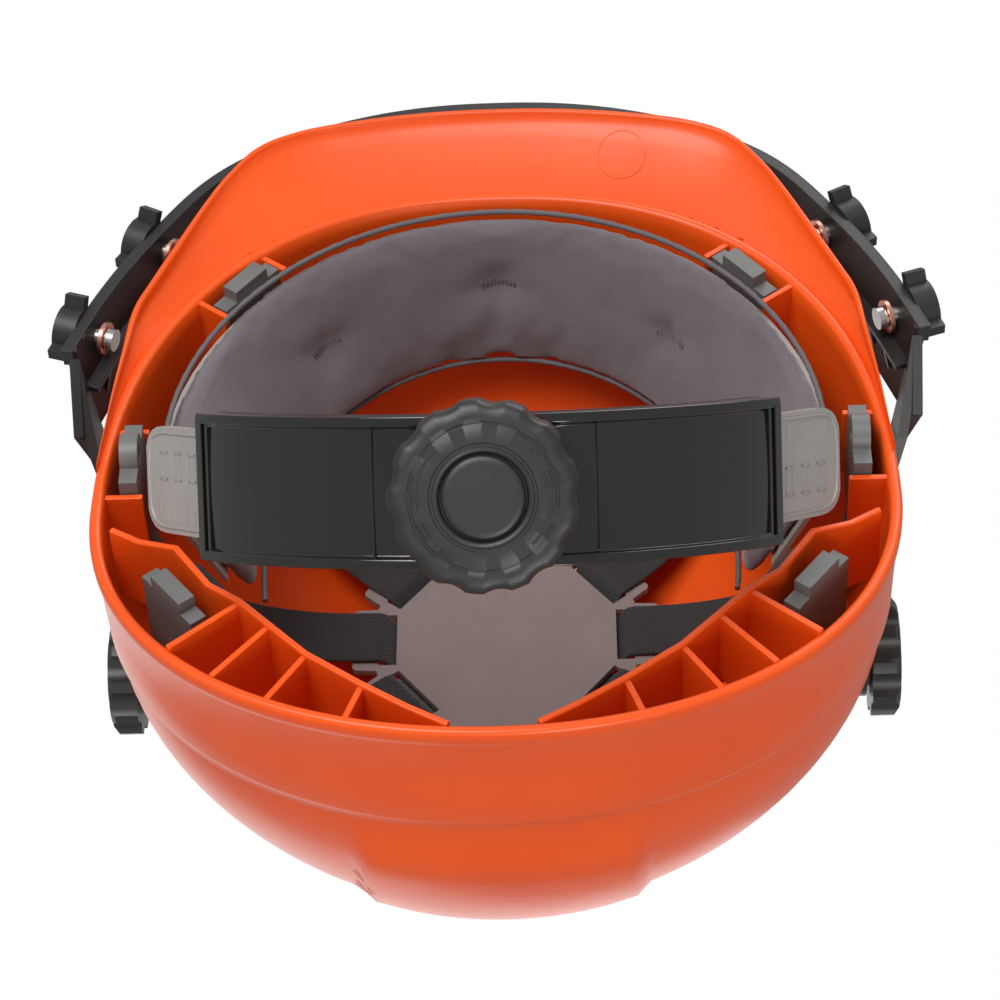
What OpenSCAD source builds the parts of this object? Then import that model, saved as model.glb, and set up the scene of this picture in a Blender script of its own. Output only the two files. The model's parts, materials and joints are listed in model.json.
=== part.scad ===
// Forestry helmet: shell, cradle, headband, nape adjuster and visor carrier.
// Frame: +Z is the crown, the wearer faces -Y, +X is the wearer's left.
// All sizes are in millimetres and all angles in degrees.

/* [Shell] */
// Half width of the shell at the rim.
shell_half_w = 115; // [102:1:124]
// Distance from the shell centre line to the front wall.
shell_front = 132; // [120:1:142]
// Distance from the shell centre line to the rear rim.
shell_rear = 94; // [84:1:104]
// Height of the crown above the side rim.
crown_h = 139; // [130:1:150]
// Wall thickness of the shell.
wall = 2.5; // [2:0.1:3.5]
// Height of the ledge between the skirt and the dome.
ledge_z = 33; // [26:1:38]
// Drop of the rear rim below the side rim.
rear_drop = 8; // [4:1:12]
// Length of the peak in front of the front wall.
peak_len = 31; // [22:1:38]

/* [Cradle] */
// Width of the cradle webbing.
strap_w = 20; // [16:1:22]
// Thickness of the cradle webbing.
strap_t = 1.2; // [0.8:0.1:1.4]
// Height of the crown pad above the rim.
pad_z = 96; // [90:1:102]
// Width of the crown pad.
pad_w = 96; // [88:1:102]

/* [Headband] */
// Half width of the sweatband at its lower edge.
band_half_w = 99; // [92:1:100]
// Height of the sweatband.
band_h = 54; // [46:1:56]
// Thickness of the sweatband foam.
foam_t = 7; // [5:0.5:8]

/* [Nape adjuster] */
// Radius of the arc that the nape tongues follow.
nape_r = 92; // [90:0.5:94]
// Tilt of the nape arc below the rim plane.
nape_tilt = 40; // [36:1:44]
// Height of the adjuster housing.
housing_h = 40; // [38:1:44]
// Diameter of the adjuster knob.
knob_d = 50; // [42:1:52]
// Thickness of the adjuster knob.
knob_h = 14; // [11:0.5:16]

/* [Visor carrier] */
// Height of the carrier wall.
carrier_h = 28; // [22:1:32]
// Gap between the peak and the carrier wall.
carrier_gap = 10; // [8:1:14]
// Diameter of the side pivot knobs.
pivot_knob_d = 36; // [30:1:36]

/* [Hidden] */
$fn = 48;
clear = 0.4;          // gap between parts that only sit beside each other
run_fit = 0.05;       // radial clearance of a running fit
shell_cy = 34;        // widest line of the shell
shell_n = 2.05;       // squareness of the plan
dome_m = 2;           // fullness of the dome from front to back
dome_side = 1.3;      // how fast its sides draw in
step = 2.6;           // ledge between the skirt and the dome
front_z = -2;         // height of the front rim
seg = 72;             // points round the shell
crest_w = 40;         // half width of the raised band over the crown
crest_rise = 2.8;
pivot_y = 28;
pivot_z = 78;
stud_r = 4;
nape_c = [0, 17, 2];
tongue_t = 2;
housing_half = 53.5;  // half span of the housing
gear_r = 8;           // pitch radius of the adjuster gear
gear_teeth = 12;
clip_w = strap_w + 4;
clip_t = 5.2;
clip_dir = -38.1;     // bearing of the front clip seen from the centre
band_cy = 12;
band_depth = 103;     // reach of the sweatband to the front at its lower edge
// Half width of the dome's outside and inside at a height.
function dome_half(z) = (shell_half_w - step) * pow(cos(asin((z - ledge_z - 0.4) / (crown_h - step - ledge_z - 0.4))), dome_side);
function dome_half_in(z) = (shell_half_w - step - wall)
  * pow(cos(asin((z - ledge_z) / (crown_h - step - wall - ledge_z))), dome_side);
arm_x0 = dome_half(pivot_z - 12) + 0.6;   // inner face of the carrier arms
knob_t = 8.5;                   // thickness of the pivot knobs
arm_t = 3;
boss_x = arm_x0 - 1;            // outer face of the pivot boss
knob_x0 = arm_x0 + arm_t + 1.2; // inner face of the pivot knobs
nut_x = dome_half_in(pivot_z + 6.6) - 3.8; // inner face of the stud nuts
peak_tip = shell_cy - shell_front - peak_len;
wall_tip = peak_tip - carrier_gap;

// ---- helpers ---------------------------------------------------------------
function spow(v, p) = sign(v) * pow(abs(v), p);
function flat(l) = [for (a = l) for (b = a) b];

// Point on a squared oval; the front half has its own depth and is a little squarer.
function oval(t, a, bf, br, cy, n) = let (m = sin(t) < 0 ? n + 0.25 : n)
  [a * spow(cos(t), 2 / m), cy + (sin(t) < 0 ? bf : br) * spow(sin(t), 2 / m)];

// Rim height at a point of the plan.
function rim_z(y) = y > shell_cy
  ? -rear_drop * pow((y - shell_cy) / shell_rear, 2)
  : front_z * pow((shell_cy - y) / shell_front, 2);

// Skin through equal sections; each section is a closed list of points.
module sweep(s) {
  n = len(s[0]);
  m = len(s);
  sides = [for (i = [0 : m - 2], j = [0 : n - 1]) let (k = (j + 1) % n)
    each [[i * n + j, i * n + k, (i + 1) * n + k], [i * n + j, (i + 1) * n + k, (i + 1) * n + j]]];
  first = [[for (j = [n - 1 : -1 : 0]) j]];
  last = [[for (j = [0 : n - 1]) (m - 1) * n + j]];
  skin(flat(s), sides, concat(first, last));
}

// Closed skin with its faces turned outwards.
module skin(pts, tris, caps = []) {
  v = [for (f = tris) cross(pts[f[0]], pts[f[1]]) * pts[f[2]]];
  vol = [for (x = v) 1] * v;
  faces = concat(tris, caps);
  polyhedron(pts, vol < 0 ? faces : [for (f = faces) [for (i = [len(f) - 1 : -1 : 0]) f[i]]], convexity = 8);
}

module mirror_if(flip) { if (flip) mirror([1, 0, 0]) children(); else children(); }

// Axis along +X at the given point.
module along_x(p) { translate(p) rotate([0, 90, 0]) children(); }

// Frame of the nape arc: +Y points to the rear and down, Z is the arc axis.
module nape() { translate(nape_c) rotate([-nape_tilt, 0, 0]) children(); }

// Radial axis at the middle of the nape arc: +Z points away from the head.
module nape_out(r) { nape() translate([0, r, 0]) rotate([-90, 0, 0]) children(); }

// Part of a tube about the nape axis, centred on the rear.
module nape_arc(r0, r1, z0, z1, half, mid = 0) {
  nape() rotate([0, 0, 90 + mid - half]) rotate_extrude(angle = 2 * half, $fn = 180)
    translate([r0, z0]) square([r1 - r0, z1 - z0]);
}

// ---- shell -----------------------------------------------------------------
function shell_ring(inset, z, k = 1, kx = 1) = [for (i = [0 : seg - 1])
  let (t = 360 * i / seg, p = oval(t, kx * (shell_half_w - inset), k * (shell_front - inset),
    k * (shell_rear - inset), shell_cy, shell_n))
  [p.x, p.y, z < -50 ? rim_z(p.y) + z + 100 : z]];

// Rings of the dome; the outer ones carry a raised band over the crown.
function dome_rings(inset, z0, rise) = [for (f = [4, 10, 17, 25, 34, 43, 52, 61, 70, 79, 86])
  [for (p = shell_ring(inset, z0 + (crown_h - inset - z0) * spow(sin(f), 2 / dome_m), spow(cos(f), 2 / dome_m),
    pow(cos(f), dome_side)))
    let (w = f < 9 ? 0 : rise * max(0, min(1, (crest_w + 3 - abs(p.x)) / 5)))
    [p.x, p.y + w * cos(f) * sign(p.y - shell_cy), p.z + w * sin(f)]]];

module shell_skin() {
  outer = concat([shell_ring(-0.6, -100), shell_ring(-0.6, -96.2), shell_ring(0.2, -95.4),
    shell_ring(1.2, ledge_z - 1), shell_ring(step, ledge_z + 0.4)], dome_rings(step, ledge_z + 0.4, crest_rise));
  inner = concat([shell_ring(wall + 0.4, -100), shell_ring(step + wall, ledge_z)],
    dome_rings(step + wall, ledge_z, 0));
  n = seg;
  mo = len(outer);
  mi = len(inner);
  pts = concat(flat(outer), flat(inner), [[0, shell_cy, crown_h - step + crest_rise], [0, shell_cy, crown_h - step - wall]]);
  o_top = (mo + mi) * n;
  faces = [for (j = [0 : n - 1]) let (k = (j + 1) % n) each concat(
    [for (i = [0 : mo - 2]) each [[i * n + j, (i + 1) * n + k, i * n + k], [i * n + j, (i + 1) * n + j, (i + 1) * n + k]]],
    [for (i = [mo : mo + mi - 2]) each [[i * n + j, i * n + k, (i + 1) * n + k], [i * n + j, (i + 1) * n + k, (i + 1) * n + j]]],
    [[(mo - 1) * n + j, o_top, (mo - 1) * n + k], [(mo + mi - 1) * n + j, (mo + mi - 1) * n + k, o_top + 1],
     [j, k, mo * n + k], [j, mo * n + k, mo * n + j]])];
  skin(pts, faces);
}

// Solid that fills the shell up to the middle of its wall.
module shell_mid() {
  rings = concat([shell_ring(step + wall / 2, -20)], dome_rings(step + wall / 2, ledge_z, 0));
  sweep(rings);
}

// Plan of the brim's edge on one side, with the bearing of the shell point it springs from.
brim = [[114.9, 18, 7.2], [114, 8, 11.4], [112.5, -10, 19.5], [110.5, -28, 28], [108.5, -44, 34], [104, -56, 39.5],
  [95, -77, 47.3], [89, -90.5, 52], [83, -102, 57.4], [74, -114, 63.1], [60, -121.5, 69.1], [40, -126, 76.4],
  [20, -128.5, 83.5], [0, -129.2, 90]];
brim_y = (peak_len + shell_front - shell_cy) / 129;
function brim_section(b, side) = let (s = shell_half_w / 115, p0 = oval(-b[2], shell_half_w - 1, shell_front - 1,
    shell_rear, shell_cy, shell_n), p = [side * p0.x, p0.y], q = [side * b.x * s, b.y * brim_y], d = q - p,
    e = d / norm(d), f = min(1, (shell_cy - q.y) / 90), z0 = 3 + 4 * f, z1 = 2.4 - 9.4 * min(1, (shell_cy - q.y) / 150),
    lip = 3.6, w = min(1.8, norm(d) * 0.6))
  [[p.x, p.y, z0], [(p.x + q.x) / 2, (p.y + q.y) / 2, (z0 + z1) / 2 + 1.4 * f], [q.x, q.y, z1], [q.x, q.y, z1 - lip],
   [q.x - w * e.x, q.y - w * e.y, z1 - lip], [q.x - w * e.x, q.y - w * e.y, z1 - 2.4],
   [(p.x + q.x) / 2, (p.y + q.y) / 2, (z0 + z1) / 2 + 1.4 * f - 2.5], [p.x, p.y, z0 - 2.6]];

// Peak and side brim: a sloping plate with a turned-down lip.
module peak() {
  n = len(brim);
  sweep(concat([for (i = [0 : n - 1]) brim_section(brim[i], 1)], [for (i = [n - 2 : -1 : 0]) brim_section(brim[i], -1)]));
}

// Small gussets between the front wall and the underside of the peak.
module gusset(t) {
  p = oval(t, shell_half_w - 0.4, shell_front - 0.4, shell_rear, shell_cy, shell_n);
  a = atan2(p.y - shell_cy, p.x);
  translate([p.x, p.y, 0]) rotate([90, 0, a]) linear_extrude(1.3, center = true)
    polygon([[-1.2, front_z + 0.6], [5.5, 3.4], [5.5, 4.6], [-1.2, 5.6]]);
}

// Inner wall and ribs of the rear pockets.
pocket = [[108.5, 44], [100, 49], [89, 55], [79, 69.5], [70, 76], [61.5, 85], [51, 96], [35.5, 107.5],
  [23, 116], [12, 122.5]];
module plate(p, q, t, z0, z1) {
  hull() {
    translate([p.x, p.y, z0]) cylinder(d = t, h = z1 - z0, $fn = 12);
    translate([q.x, q.y, z0]) cylinder(d = t, h = z1 - z0, $fn = 12);
  }
}
module pockets() {
  for (f = [0, 1]) mirror_if(f == 1) {
    scale_xy = [shell_half_w / 115, shell_rear / 94];
    for (i = [0 : len(pocket) - 2]) plate([pocket[i].x * scale_xy.x, (pocket[i].y - shell_cy) * scale_xy.y + shell_cy],
      [pocket[i + 1].x * scale_xy.x, (pocket[i + 1].y - shell_cy) * scale_xy.y + shell_cy], 2, -5.4, 24);
    for (r = [[70, 76, 40], [61.5, 85, 50], [51, 96, 57], [35.5, 107.5, 70]])
      intersection() {
        shell_core();
        plate([r.x * scale_xy.x, (r.y - shell_cy) * scale_xy.y + shell_cy],
          [(r.x + 26 * cos(r[2])) * scale_xy.x, (r.y - shell_cy + 26 * sin(r[2])) * scale_xy.y + shell_cy], 1.8, -4.4, 20);
      }
  }
}
module shell_core() {
  translate([0, 0, -6]) linear_extrude(60)
    polygon([for (i = [0 : seg - 1]) oval(360 * i / seg, shell_half_w - 1.8, shell_front - 1.8,
      shell_rear - 1.8, shell_cy, shell_n)]);
}

// Guide ribs beside the front and middle clips.
module clip_guides() {
  for (f = [0, 1]) mirror_if(f == 1) intersection() {
    shell_core();
    union() {
      for (s = [-1, 1]) {
        at_clip(front_pos, clip_dir) translate([-4, s * (clip_w / 2 + 1.4) - 0.9, 0]) cube([20, 1.8, 26]);
        at_clip(mid_pos, 0) translate([-3, s * (clip_w / 2 + 1.4) - 0.9, 2]) cube([20, 1.8, 24]);
      }
    }
  }
}

module shell() {
  color([0.93, 0.33, 0.1]) difference() {
    union() {
      shell_skin();
      peak();
      for (i = [-8 : 8]) gusset(270 + i * 4.6);
      pockets();
      clip_guides();
      difference() {
        for (f = [0, 1]) mirror_if(f == 1)
          along_x([80, pivot_y, pivot_z]) cylinder(d1 = 40, d2 = 26, h = boss_x - 80);
        shell_mid();
      }
    }
    for (f = [0, 1]) mirror_if(f == 1)
      along_x([70, pivot_y, pivot_z]) cylinder(r = stud_r + clear, h = 60, $fn = 32);
  }
}

// ---- cradle ----------------------------------------------------------------
// Whether a plan point lies inside the shell by a distance.
function plan_in(x, y, inset) = let (m = y < shell_cy ? shell_n + 0.25 : shell_n,
    b = (y < shell_cy ? shell_front : shell_rear) - inset)
  pow(abs(x) / (shell_half_w - inset), m) + pow(abs(y - shell_cy) / b, m) < 1;
// Furthest place along a bearing at which both outer corners of a clip stay inside.
function clip_fits(x, y, a, gap) = let (o = [x, y] + clip_t / 2 * [cos(a), sin(a)], c = clip_w / 2 * [-sin(a), cos(a)])
  plan_in(o.x + c.x, o.y + c.y, gap) && plan_in(o.x - c.x, o.y - c.y, gap);
function clip_reach(a, y, gap, lo = 20, hi = 400, i = 30) = i == 0 ? lo : let (r = (lo + hi) / 2)
  clip_fits(r * cos(a), r * sin(a) + y, a, gap) ? clip_reach(a, y, gap, r, hi, i - 1) : clip_reach(a, y, gap, lo, r, i - 1);
front_r = clip_reach(clip_dir, 0, 5.1);
rear_r = clip_reach(-clip_dir, 0, 11);
front_pos = front_r * [cos(clip_dir), sin(clip_dir)];
rear_pos = rear_r * [cos(clip_dir), -sin(clip_dir)];
mid_y = 14;
mid_pos = [clip_reach(0, mid_y, 5.15), mid_y];

module at_clip(p, a) { translate([p.x, p.y, 0]) rotate([0, 0, a]) children(); }

// Webbing clip with a pocket for the strap end.
module clip(p, a, z0 = 0, eye = false) {
  color([0.42, 0.42, 0.41]) at_clip(p, a) difference() {
    union() {
      translate([-clip_t / 2, -clip_w / 2, z0]) cube([clip_t, clip_w, 30 - z0]);
      if (eye) translate([-clip_t / 2, 0, z0]) rotate([0, 90, 0]) cylinder(r = 6, h = clip_t);
      else translate([-clip_t / 2, -7, z0 - 4]) cube([clip_t, 14, 5]);
    }
    translate([-strap_t / 2 - clear, -strap_w / 2 - clear, 10])
      cube([strap_t + 2 * clear, strap_w + 2 * clear, 40]);
    if (eye) translate([-20, 0, z0]) rotate([0, 90, 0]) cylinder(r = 2.5, h = 40);
  }
}

// Half of a strap's path from the middle of the pad to a clip: reach, and height over the pad's underside. It lies over
// the pad in its own layer, goes down through the slot and runs under the tab.
pad_t = 2.4;
slot0 = pad_w / 2 - 13.6;            // near edge of the slots in the pad
slot_len = 5.4;
function strap_over(layer) = layer == 0
  ? [[0, 3.3], [slot0 - 0.2, 3.3], [slot0 + 1.5, 2.5], [slot0 + 3.9, -1], [slot0 + 5.6, -1.4]]
  : concat(layer == 2 ? [[0, 6.8], [strap_w * 0.85, 6.8], [strap_w * 0.85 + 4, 5]] : [[0, 5]],
    [[slot0 - 3.4, 5], [slot0 + 0.2, 3.9], [slot0 + 1.8, 2.4], [slot0 + 3.9, -1], [slot0 + 5.6, -1.4]]);
function strap_half(r, layer) = let (x0 = slot0 + 5.6, h = pad_z - 25.4)
  concat(strap_over(layer), [for (i = [1 : 12]) let (f = 90 - 7.5 * i)
    [x0 + (r - x0) * spow(cos(f), 0.9), 24 - pad_z + h * spow(sin(f), 0.95)]], [[r, 12 - pad_z]]);
module strap(dir, r0, r1, layer, bow) {
  a = strap_half(r0, layer);
  b = strap_half(r1, layer);
  pts = concat([for (i = [len(a) - 1 : -1 : 0]) [a[i].x, a[i].y + pad_z]],
    [for (i = [1 : len(b) - 1]) [-b[i].x, b[i].y + pad_z]]);
  last = len(pts) - 1;
  free = slot0 + 8;                  // the ends turn forward beyond this reach
  color([0.07, 0.07, 0.07]) rotate([0, 0, dir]) sweep([for (i = [0 : last])
    let (p = pts[i], d = pts[min(last, i + 1)] - pts[max(0, i - 1)],
      m = [d.y, -d.x] / norm(d) * strap_t / 2, y = bow * pow(max(0, abs(p.x) - free) / (r0 - free), 2))
    [[p.x + m.x, y - strap_w / 2, p.y + m.y], [p.x - m.x, y - strap_w / 2, p.y - m.y],
     [p.x - m.x, y + strap_w / 2, p.y - m.y], [p.x + m.x, y + strap_w / 2, p.y + m.y]]]);
}

module crown_pad() {
  h = pad_w / 2;
  dirs = [0, clip_dir, -clip_dir, 180, 180 + clip_dir, 180 - clip_dir];
  color([0.5, 0.44, 0.42]) translate([0, 0, pad_z]) difference() {
    union() {
      cylinder(r = h * 0.86, h = pad_t, $fn = 8);
      for (a = dirs) rotate([0, 0, a]) translate([0, -strap_w / 2 - 3, 0]) cube([h, strap_w + 6, pad_t]);
    }
    for (a = dirs) rotate([0, 0, a]) translate([slot0, -strap_w / 2 - clear, -1]) cube([slot_len, strap_w + 2 * clear, 6]);
  }
}

// ---- headband --------------------------------------------------------------
band_z0 = -4;
band_half = 100;      // half span of the sweatband, clear of the tightened tongues
function band_pt(a, z, off) = let (k = (z - band_z0) / band_h, w = band_half_w - 25 * k + off, d = band_depth - 11 * k + off)
  [w * sin(a), band_cy - d * cos(a), z];
module band(a0, t0, t1, z0, z1) {
  sweep([for (i = [0 : 44]) let (a = a0 - 2 * a0 * i / 44)
    [band_pt(a, z0, t0), band_pt(a, (z0 + z1) / 2, t0), band_pt(a, z1, t0),
     band_pt(a, z1, t1), band_pt(a, (z0 + z1) / 2, t1), band_pt(a, z0, t1)]]);
}
module sweatband() {
  color([0.4, 0.36, 0.38]) band(band_half, -foam_t, 0, band_z0, band_z0 + band_h);
}
module headband() {
  color([0.6, 0.58, 0.55]) band(band_half + 0.5, clear, clear + 1.5, 4, 36);
}
module hanger(flip) {
  color([0.1, 0.1, 0.1]) mirror_if(flip) hull() {
    translate([band_half_w - 23, 64, 4]) cylinder(r = 1.2, h = 22, $fn = 24);
    translate([band_half_w - 15, 54, 4]) cylinder(r = 1.2, h = 22, $fn = 24);
  }
}
module button(flip) {
  color([0.09, 0.09, 0.09]) mirror_if(flip) translate([band_half_w - 5.9, 0, 14]) rotate([0, 65, 0])
    cylinder(r = 6, h = 2.4);
}

// ---- nape adjuster -----------------------------------------------------------
cover_r = nape_r + tongue_t + 1;
cover_t = 2.2;
half_h = housing_h / 2;
module nape_housing() {
  r1 = cover_r + cover_t;
  color([0.06, 0.06, 0.06]) difference() {
    union() {
      nape() rotate([0, 0, 90 - housing_half]) rotate_extrude(angle = 2 * housing_half, $fn = 180)
        polygon([[nape_r - 0.7, -half_h], [r1 + 1.4, -half_h], [r1 + 1.4, 2.4 - half_h], [r1, 2.4 - half_h],
          [r1, half_h - 2.4], [r1 + 1.4, half_h - 2.4], [r1 + 1.4, half_h], [nape_r - 0.7, half_h],
          [nape_r - 0.7, half_h - 2.4], [cover_r, half_h - 2.4], [cover_r, 2.4 - half_h], [nape_r - 0.7, 2.4 - half_h]]);
      for (s = [-1, 1]) nape() rotate([0, 0, 90 + s * (housing_half - 1)]) translate([cover_r + 0.4, -1.2, 1 - half_h])
        cube([cover_t + 0.8, 2.4, housing_h - 2]);
      nape_out(cover_r + 0.5) cylinder(r = 9, h = cover_t + 1.7);
    }
    nape_out(nape_r) cylinder(r = stud_r + run_fit, h = 30);
  }
}
module nape_back() {
  color([0.1, 0.1, 0.1]) nape_arc(nape_r - 2.6, nape_r - 1, -half_h, half_h, housing_half - 0.5);
}
module lock_ring() {
  color([0.16, 0.16, 0.16]) nape_out(cover_r + cover_t + 0.3 + 0.6) difference() {
    cylinder(r = 14, h = 1.6);
    translate([0, 0, -1]) cylinder(r = 9 + clear, h = 5);
    for (i = [0 : 17]) rotate([0, 0, i * 20]) translate([12, -0.8, 0.8]) cube([3, 1.6, 2]);
  }
}
shaft_end = cover_r + cover_t + 12;
module pinion() {
  color([0.2, 0.2, 0.2]) {
    nape_out(nape_r) union() {
      difference() {
        cylinder(r = gear_r + 1, h = tongue_t);
        for (i = [0 : gear_teeth - 1]) rotate([0, 0, (i + 0.5) * 360 / gear_teeth])
          translate([gear_r - 1, -1.45, -1]) cube([4, 2.9, tongue_t + 2]);
      }
      cylinder(r = stud_r, h = shaft_end - nape_r);
    }
  }
}
knob_r0 = cover_r + cover_t + 3.4;
module adjuster_knob() {
  color([0.13, 0.13, 0.12]) nape_out(knob_r0) difference() {
    union() {
      cylinder(d = knob_d, h = knob_h - 1);
      translate([0, 0, knob_h - 1.01]) cylinder(d1 = knob_d, d2 = knob_d - 3, h = 1.01);
    }
    for (i = [0 : 12]) rotate([0, 0, i * 360 / 13]) translate([knob_d / 2 + 4.9, 0, -1])
      cylinder(r = 6, h = knob_h + 2, $fn = 32);
    translate([0, 0, -1]) cylinder(r = stud_r + run_fit, h = 10.8);
    translate([0, 0, knob_h - 0.6]) difference() { cylinder(r = 15.8, h = 2); translate([0, 0, -1]) cylinder(r = 15, h = 4); }
    translate([0, 0, knob_h - 1.8]) cylinder(r = 11.4, h = 3);
  }
}
module knob_cap() {
  color([0.12, 0.12, 0.11]) nape_out(knob_r0 + knob_h - 1.4) cylinder(r = 11, h = 1.2);
}

// Tongue with a rack; the rack passes above or below the gear.
rack_pitch = 360 / gear_teeth * gear_r / (nape_r + tongue_t / 2);
rack_tooth = 0.75;                   // tooth width in degrees of the arc
rack_teeth = [for (i = [-4 : 14]) (i + 0.5) * rack_pitch];
function tongue_stations() = concat([[-4.2 * rack_pitch, gear_r + 1.6]],
  [for (t = rack_teeth) each [[t - rack_tooth / 2 - 0.12, gear_r + 1.6], [t - rack_tooth / 2, gear_r - 0.4],
    [t + rack_tooth / 2, gear_r - 0.4], [t + rack_tooth / 2 + 0.12, gear_r + 1.6]]]);
module tongue(side) {
  a = [for (t = tongue_stations()) [t[0], t[1], gear_r + 5.6]];
  b = [for (t = [40 : 4 : 56]) [t, -15, 15]];
  c = [[39.6, gear_r + 1.6, gear_r + 5.6]];
  e = [for (q = [[12, 15], [24, 15], [30, 14], [33, 12], [35, 8.5]]) [56, -q[1], q[1], q[0]]];
  color([0.62, 0.6, 0.57]) nape() mirror_if(side < 0) rotate([side < 0 ? 180 : 0, 0, 0])
    mirror([0, side < 0 ? 1 : 0, 0]) sweep([for (t = concat(a, c, b, e))
      [for (q = [[nape_r, t[1]], [nape_r + tongue_t, t[1]], [nape_r + tongue_t, t[2]], [nape_r, t[2]]])
        let (run = len(t) > 3 ? t[3] : 0)
        [q[0] * sin(t[0]) + run * cos(t[0]), q[0] * cos(t[0]) - run * sin(t[0]), q[1]]]]);
}

// ---- visor carrier ---------------------------------------------------------
lean = 0.45;
wall_half = [[0, -137], [20, -136], [40, -132], [60, -124.5], [78, -113], [90, -101], [101, -84], [111, -66],
  [119, -48], [126, -28]];
function wall_pts() = concat([for (i = [9 : -1 : 1]) [-wall_half[i].x, wall_half[i].y]], wall_half);
wx = shell_half_w / 115;
wy = (peak_tip - carrier_gap) / (-139);
function wall_at(i) = let (p = wall_pts()[i]) [p.x * wx + sign(p.x) * (carrier_gap - 10), p.y * wy];
function wall_dir(i) = let (l = len(wall_pts()) - 1, d = wall_at(min(l, i + 1)) - wall_at(max(0, i - 1))) d / norm(d);
carrier_z = -4;
// Upright rib between the shelf and the carrier wall.
module rib(i) {
  p = wall_at(i);
  d = wall_dir(i);
  n = [d.y, -d.x];
  z = carrier_z + carrier_h * 0.46 + 1;
  hull() {
    for (q = [[-1, z], [-6.4, z], [-3.6, carrier_z + carrier_h - 2]])
      translate([p.x + n.x * q[0], p.y + n.y * q[0], q[1]]) cylinder(r = 0.9, h = 0.8, $fn = 8);
  }
}
module carrier() {
  l = len(wall_pts()) - 1;
  shelf = carrier_z + carrier_h * 0.46;
  color([0.07, 0.07, 0.07]) union() {
    difference() {
      union() {
        sweep([for (i = [l : -1 : 0]) let (p = wall_at(i), d = wall_dir(i), n = [d.y, -d.x])
          [for (q = [[lean * 6, 0], [lean * 6 - 3, 0], [-lean * 6 - 3, carrier_h], [-lean * 6, carrier_h]])
            [p.x + n.x * q[0], p.y + n.y * q[0], carrier_z + q[1]]]]);
        sweep([for (i = [l : -1 : 0]) let (p = wall_at(i), d = wall_dir(i), n = [d.y, -d.x])
          [for (q = [[-0.5, 0], [-7, 0], [-7, 2], [-0.5, 2]]) [p.x + n.x * q[0], p.y + n.y * q[0], shelf + q[1]]]]);
      }
      for (f = [0, 1]) mirror_if(f == 1) for (k = [0, 1]) screw_frame(k) translate([0, 0, -20])
        cylinder(r = 2.5 + clear, h = 40);
      centre_frame() translate([0, 0, -20]) cylinder(r = 2.5 + clear, h = 40);
    }
    for (i = [1 : l - 1]) if (i != l / 2) rib(i);
  }
}

// Frames of the carrier screws: +Z points outwards through the wall.
function screw_xy(k) = let (a = wall_at(k == 0 ? 15 : 17), b = wall_at(k == 0 ? 16 : 18)) a + (b - a) * (k == 0 ? 0.2 : 0.3);
function screw_bearing(k) = let (d = wall_at(k == 0 ? 16 : 18) - wall_at(k == 0 ? 15 : 17)) atan2(-d.x, d.y);
module screw_frame(k) {
  p = screw_xy(k);
  translate([p.x, p.y, carrier_z + 6.5]) rotate([0, 0, screw_bearing(k)]) rotate([0, 90, 0]) children();
}
module centre_frame() {
  p = wall_at(9);
  translate([0, p.y, carrier_z + carrier_h - 7]) rotate([90, 0, 0]) children();
}
module screw(k, flip) {
  color([0.75, 0.74, 0.72]) mirror_if(flip) screw_frame(k) {
    translate([0, 0, -7]) cylinder(r = 3.4, h = 2.4);
    translate([0, 0, -5]) cylinder(r = 2.5, h = 13.2);
  }
}
module washer(k, flip) {
  color([0.78, 0.5, 0.42]) mirror_if(flip) screw_frame(k) translate([0, 0, -4.3]) difference() {
    cylinder(r = 5, h = 1.2);
    translate([0, 0, -1]) cylinder(r = 2.5 + run_fit, h = 4);
  }
}
module thumb_nut_body() {
  difference() {
    union() {
      cylinder(r = 8, h = 7);
      for (a = [0, 120, 240]) rotate([0, 0, a]) translate([-1.6, 5, 0.3]) cube([3.2, 6.5, 6.4]);
    }
    translate([0, 0, -1]) cylinder(r = 2.5 + run_fit, h = 6.4);
  }
}
module thumb_nut(k, flip) {
  color([0.08, 0.08, 0.08]) mirror_if(flip) screw_frame(k) translate([0, 0, 3.4]) thumb_nut_body();
}
module screw_centre() {
  color([0.75, 0.74, 0.72]) centre_frame() {
    translate([0, 0, -8.2]) cylinder(r = 4.2, h = 2.4);
    translate([0, 0, -6]) cylinder(r = 2.5, h = 11.4);
  }
}
module nut_centre() { color([0.08, 0.08, 0.08]) centre_frame() translate([0, 0, 0.4]) thumb_nut_body(); }

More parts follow.
